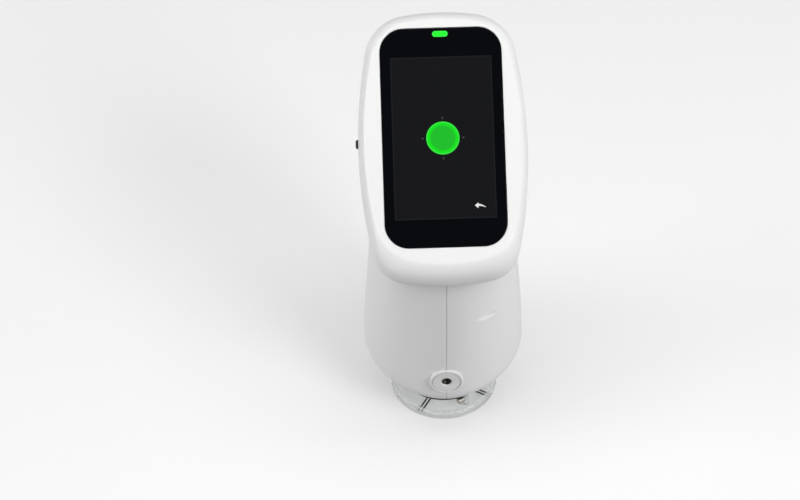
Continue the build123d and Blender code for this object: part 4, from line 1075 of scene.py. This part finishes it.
def make_knob():
    """Ribbed slide knob."""
    ups = np.linspace(-KNOB_LENGTH / 2, KNOB_LENGTH / 2, 64)
    swell = np.sqrt(np.maximum(1 - np.abs(ups / (KNOB_LENGTH / 2)) ** 6, 0))
    ribs = (0.5 - 0.5 * np.cos(2 * pi * KNOB_RIBS * ups / KNOB_LENGTH)) * swell
    crest = KNOB_OUTER - KNOB_CROWN * (1 - swell) - KNOB_RIB_DEPTH * ribs
    rows = []
    for high, shrink in ((-1, 0.22), (-0.96, 0.12), (-0.85, 0), (0.85, 0), (0.96, 0.12), (1, 0.22)):
        level = FACE_MIDDLE + (high * KNOB_HEIGHT / 2 - KNOB_DEPTH) * OUTWARDS
        loop = [(KNOB_INNER, ups[0]), *zip(crest - shrink, ups), (KNOB_INNER, ups[-1])]
        rows.append([level - out * ACROSS + (KNOB_UP + up) * UPWARDS for out, up in loop])
    return settle(grid("slide_knob", capped(rows)), "power_knob")


def make_button():
    """Round button, very slightly dished, with its stop flange."""
    dish = [
        (radius, BUTTON_HEIGHT - BUTTON_DISH * (1 - (radius / BUTTON_DISH_RADIUS) ** 2))
        for radius in (4.5, 3.0, 1.5, 0.0)]
    profile = soften([
        (0, 0, 0), (BUTTON_FLANGE_RADIUS, 0, 0.15), (BUTTON_FLANGE_RADIUS, BUTTON_FLANGE_HEIGHT, 0.15),
        (BUTTON_RADIUS, BUTTON_FLANGE_HEIGHT, 0), (BUTTON_RADIUS, BUTTON_HEIGHT, 1.1),
        (5.6, BUTTON_HEIGHT - 0.03, 0)])
    button = lathe(
        "round_button", [*profile, *dish], (0, BUTTON_CROWN_Y - BUTTON_HEIGHT, BUTTON_Z), (0, 1, 0))
    return settle(button, "measure_button")


def make_socket_parts():
    """Disc in the lower front, a little hollow inside its fine groove."""
    socket = settings().socket
    bore, sink = socket.thread_radius, socket.countersink
    inner, outer = GROOVE_RADIUS, GROOVE_RADIUS + GROOVE_WIDTH
    profile = soften([
        (bore, INSERT_FRONT, 0), (bore, HOLLOW + sink, 0.03), (bore + sink, HOLLOW, 0.03),
        (inner, HOLLOW, 0.1), (inner, GROOVE_DEPTH, 0), (outer, GROOVE_DEPTH, 0), (outer, 0, 0.12),
        (SOCKET_RADIUS, 0, 0.55), (SOCKET_RADIUS, SOCKET_FLANGE_FRONT, 0),
        (SOCKET_FLANGE_RADIUS, SOCKET_FLANGE_FRONT, 0.1), (SOCKET_FLANGE_RADIUS, SOCKET_FLANGE_BACK, 0.1),
        (SOCKET_RADIUS, SOCKET_FLANGE_BACK, 0), (SOCKET_RADIUS, SOCKET_LENGTH, 0.1),
        (INSERT_RADIUS, SOCKET_LENGTH, 0), (INSERT_RADIUS, INSERT_FRONT, 0)])
    settle(lathe("socket_disc", profile, (0, SOCKET_FACE_Y, SOCKET_Z), (0, 1, 0), 120), "stand_boss")
    make_thread()


def make_thread():
    """Metal insert with its helical stand thread."""
    socket = settings().socket
    turns = np.linspace(0, 2 * pi, 72, endpoint=False)
    sines, cosines, level = np.sin(turns), np.cos(turns), np.ones(len(turns))
    rows = []
    for along in np.arange(INSERT_FRONT, INSERT_BACK + 0.001, 0.08):
        phase = (along / socket.pitch - turns / (2 * pi)) % 1.0
        ridge = np.clip(1.35 - np.abs(phase - 0.5) * 3.4, 0, 1)
        rows.append((socket.thread_radius - socket.thread_depth * ridge, along))
    rows += [(INSERT_RADIUS * level, along) for along in (INSERT_BACK, INSERT_FRONT)]
    points = [
        np.stack([radius * cosines, (SOCKET_FACE_Y + along) * level, SOCKET_Z + radius * sines], axis=1)
        for radius, along in rows]
    # The bush's darkened steel is painted shade, standing in for the shadow deep inside the bore.
    return settle(grid("threaded_bush", points, join_rows=True), "thread_insert", look=steel_painted_bore_shade())


# ---- stabilizer ----

def around(count, first):
    """Angles of an even ring, from the first one in degrees."""
    return [radians(first + 360 * number / count) for number in range(count)]


def make_stabilizer():
    """Clear dish with its rim, the printed cross, three posts and their screws."""
    inner = RING_RADIUS - RING_WALL
    dish = lathe("clear_dish", soften([
        (RING_HOLE, 0, 0.12), (RING_RADIUS, 0, 0.25), (RING_RADIUS, RING_HEIGHT, 0.45),
        (inner, RING_HEIGHT, 0.45), (inner, RING_FLOOR, 0.35), (RING_HOLE, RING_FLOOR, 0.12)]), steps=160)
    settle(dish, "stabilizer_ring")
    strips = [strip(turn, aside) for turn in around(4, MARK_ANGLE) for aside in (-MARK_ASIDE, MARK_ASIDE)]
    settle(join(strips, "printed_cross"), "stabilizer_marks")
    posts, screws = [], []
    for turn in around(3, POST_ANGLE):
        foot = POST_CIRCLE * np.array([cos(turn), sin(turn), 0])
        height = POST_TOP - RING_FLOOR
        profile = soften([
            (0, -POST_SINK, 0), (POST_RADIUS, -POST_SINK, 0), (POST_RADIUS, height, 0.15), (0, height, 0)])
        posts.append(lathe("post", profile, foot + np.array([0, 0, RING_FLOOR]), steps=48))
        screws.append(clip_screw(foot + np.array([0, 0, CLIP_Z]), (sin(turn), -cos(turn), 0)))
    settle(join(posts, "clear_posts"), "stabilizer_posts", look=sawn_acrylic())
    settle(join(screws, "clip_screw_set"), "clip_screws")


def strip(turn, offset):
    """One inked line of the cross, a hair above the clear floor."""
    along, aside = np.array([cos(turn), sin(turn), 0]), np.array([-sin(turn), cos(turn), 0])
    rows = []
    for place, half in MARK_STEPS:
        section = [(-half, MARK_BOTTOM), (-half, RING_FLOOR), (-0.8 * half, MARK_TOP)]
        section += [(-across, height) for across, height in section[::-1]]
        rows.append([
            along * place + aside * (offset + across) + np.array([0, 0, height])
            for across, height in section])
    return grid("strip", capped(rows))


def clip_screw(middle, axis):
    """Short screw in the side of a post."""
    profile = soften([
        (0, CLIP_START, 0), (CLIP_SHANK_RADIUS, CLIP_START, 0), (CLIP_SHANK_RADIUS, CLIP_SEAT, 0),
        (CLIP_HEAD_RADIUS, CLIP_SEAT, 0.1), (CLIP_HEAD_RADIUS, CLIP_END, 0.25), (0, CLIP_END, 0)])
    return lathe("screw", profile, middle, axis, 48)


def join(pieces, name):
    """Joins pieces into one with this name."""
    bpy.ops.object.select_all(action="DESELECT")
    for piece in pieces:
        piece.select_set(True)
    bpy.context.view_layer.objects.active = pieces[0]
    bpy.ops.object.join()
    pieces[0].name = pieces[0].data.name = name
    return pieces[0]


# ---- operators ----

class COLORIMETER_OT_head(bpy.types.Operator):
    """Build the head cover, cover glass, status light and seal"""
    bl_idname = "colorimeter.head"
    bl_label = "Head"

    def execute(self, context):
        make_head_cover()
        make_glass()
        make_light_guide()
        smoothed("head_seal", "seal_ring")
        return {"FINISHED"}


class COLORIMETER_OT_body(bpy.types.Operator):
    """Build both body halves and the bare label"""
    bl_idname = "colorimeter.body"
    bl_label = "Body"

    def execute(self, context):
        make_body_half("body_left", -1)
        make_body_half("body_right", 1)
        smoothed("rating_label", "bare_label")
        return {"FINISHED"}


class COLORIMETER_OT_controls(bpy.types.Operator):
    """Build the knob, button, socket flap and stand socket"""
    bl_idname = "colorimeter.controls"
    bl_label = "Controls"

    def execute(self, context):
        make_knob()
        make_button()
        make_socket_parts()
        smoothed("usb_flap", "socket_flap", 0.12)
        smoothed("usb_socket", "charging_shell", 0.06)
        return {"FINISHED"}


class COLORIMETER_OT_measuring_end(bpy.types.Operator):
    """Build the stabilizer and the measuring end"""
    bl_idname = "colorimeter.measuring_end"
    bl_label = "Measuring end"

    def execute(self, context):
        make_stabilizer()
        for node in ("port_nose", "base_plate", "aperture_insert", "base_screws", "case_screws"):
            smoothed(node, f"{node}_turned")
        return {"FINISHED"}


class COLORIMETER_OT_insides(bpy.types.Operator):
    """Give every inner part its finish"""
    bl_idname = "colorimeter.insides"
    bl_label = "Insides"

    def execute(self, context):
        for name, node in frame["nodes"].items():
            if not node.hide_render:
                dress(node, LOOKS[SLOT_OF[name]]())
        return {"FINISHED"}


class COLORIMETER_OT_studio(bpy.types.Operator):
    """Set the floor, the lights and the camera"""
    bl_idname = "colorimeter.studio"
    bl_label = "Studio"

    def execute(self, context):
        studio = settings().studio
        add_floor(tuple(studio.floor))
        for name, (place, size) in SOFT_BOXES.items():
            add_soft_box(name, place, size, getattr(studio, name))
        add_world(studio.horizon)
        add_camera()
        context.scene.view_settings.view_transform = "Standard"
        return {"FINISHED"}


def add_floor(colour):
    """Pale floor, lifted a little where it is seen and darker for the light that it throws back."""
    bpy.ops.mesh.primitive_plane_add(size=FLOOR_SIZE, location=(0, 0, -0.1 * MM))
    floor = bpy.context.active_object
    floor.name = "studio_floor"
    material, tree, shader, place = new_look("floor", Specular_IOR_Level=0.2)
    tone = noise(tree, place, 3.0, 2.0)
    camera, glossy, transmitted = (wire(tree, "ShaderNodeLightPath", {}, output) for output in (0, 3, 6))
    seen = camera.math("MAXIMUM", glossy).math("MAXIMUM", transmitted)
    pale = blend(tree, tone, tuple(0.995 * channel for channel in colour), colour)
    feed(tree, shader, Base_Color=blend(tree, seen, FLOOR_BOUNCE, pale), Roughness=0.8 + 0.1 * tone)
    glow = wire(tree, "ShaderNodeEmission", {"Color": (1, 1, 1, 1), "Strength": 1.0})
    lifted = wire(
        tree, "ShaderNodeMixShader", {0: FLOOR_GLOW * seen, 1: Field(tree, shader.outputs[0]), 2: glow})
    tree.links.new(lifted.socket, tree.nodes["Material Output"].inputs["Surface"])
    dress(floor, material)


def aim(thing, place, target):
    """Puts a light at a place and points it at a target."""
    thing.location = place
    thing.rotation_euler = (Vector(target) - Vector(place)).to_track_quat("-Z", "Y").to_euler()


def add_soft_box(name, place, size, power):
    """Rectangular lamp that faces the part."""
    bpy.ops.object.light_add(type="AREA")
    box = bpy.context.active_object
    box.name = name
    box.data.shape = "RECTANGLE"
    box.data.size, box.data.size_y = size
    box.data.energy = power
    aim(box, place, SOFT_BOX_AIM)


def add_world(brightness):
    """Surroundings that are bright at the horizon and dark overhead."""
    world = bpy.context.scene.world or bpy.data.worlds.new("studio")
    bpy.context.scene.world = world
    world.use_nodes = True
    tree = world.node_tree
    place = wire(tree, "ShaderNodeTexCoord", {}, output=0)
    height = wire(tree, "ShaderNodeSeparateXYZ", (place,), output=2)
    back = tree.nodes["Background"]
    back.inputs["Color"].default_value = (1, 1, 1, 1)
    tree.links.new((height.step(0.55, 0.2) * brightness + 0.03).socket, back.inputs["Strength"])


def add_camera():
    """Camera above and in front, rolled very slightly."""
    target, distance = CAMERA_TARGET * MM, CAMERA_DISTANCE * MM
    rise, reach = sin(CAMERA_ELEVATION), cos(CAMERA_ELEVATION)
    back = np.array([sin(CAMERA_AZIMUTH) * reach, -cos(CAMERA_AZIMUTH) * reach, rise])
    level = np.array([cos(CAMERA_AZIMUTH), sin(CAMERA_AZIMUTH), 0])
    upright = np.cross(back, level)
    right = level * cos(CAMERA_ROLL) + upright * sin(CAMERA_ROLL)
    above = upright * cos(CAMERA_ROLL) - level * sin(CAMERA_ROLL)
    bpy.ops.object.camera_add()
    camera = bpy.context.active_object
    camera.data.sensor_width = 36.0
    camera.data.lens = CAMERA_LENS
    camera.data.clip_start, camera.data.clip_end = 0.05, 20
    turn = Matrix([right, above, back]).transposed().to_4x4()
    camera.matrix_world = Matrix.Translation(Vector(target + back * distance)) @ turn
    bpy.context.scene.camera = camera


class COLORIMETER_PT_panel(bpy.types.Panel):
    """Settings and steps of the colorimeter"""
    bl_label = "Upright Colorimeter"
    bl_idname = "COLORIMETER_PT_panel"
    bl_space_type = "VIEW_3D"
    bl_region_type = "UI"
    bl_category = "Colorimeter"

    def draw(self, context):
        for group in ("casing", "display", "socket", "studio"):
            box = self.layout.box()
            box.label(text=group.title())
            values = getattr(context.scene.colorimeter, group)
            for name in values.__annotations__:
                box.prop(values, name)
        for operator in OPERATORS:
            self.layout.operator(operator.bl_idname)


OPERATORS = (
    COLORIMETER_OT_head, COLORIMETER_OT_body, COLORIMETER_OT_controls,
    COLORIMETER_OT_measuring_end, COLORIMETER_OT_insides, COLORIMETER_OT_studio,
)
CLASSES = (
    CasingSettings, DisplaySettings, SocketSettings, StudioSettings, ColorimeterSettings,
    *OPERATORS, COLORIMETER_PT_panel,
)


def register():
    for cls in CLASSES:
        bpy.utils.register_class(cls)
    bpy.types.Scene.colorimeter = PointerProperty(type=ColorimeterSettings)


def unregister():
    del bpy.types.Scene.colorimeter
    for cls in reversed(CLASSES):
        bpy.utils.unregister_class(cls)


def main():
    register()
    bpy.ops.colorimeter.head()
    bpy.ops.colorimeter.body()
    bpy.ops.colorimeter.controls()
    bpy.ops.colorimeter.measuring_end()
    bpy.ops.colorimeter.insides()
    bpy.ops.colorimeter.studio()


if __name__ == "__main__":
    main()
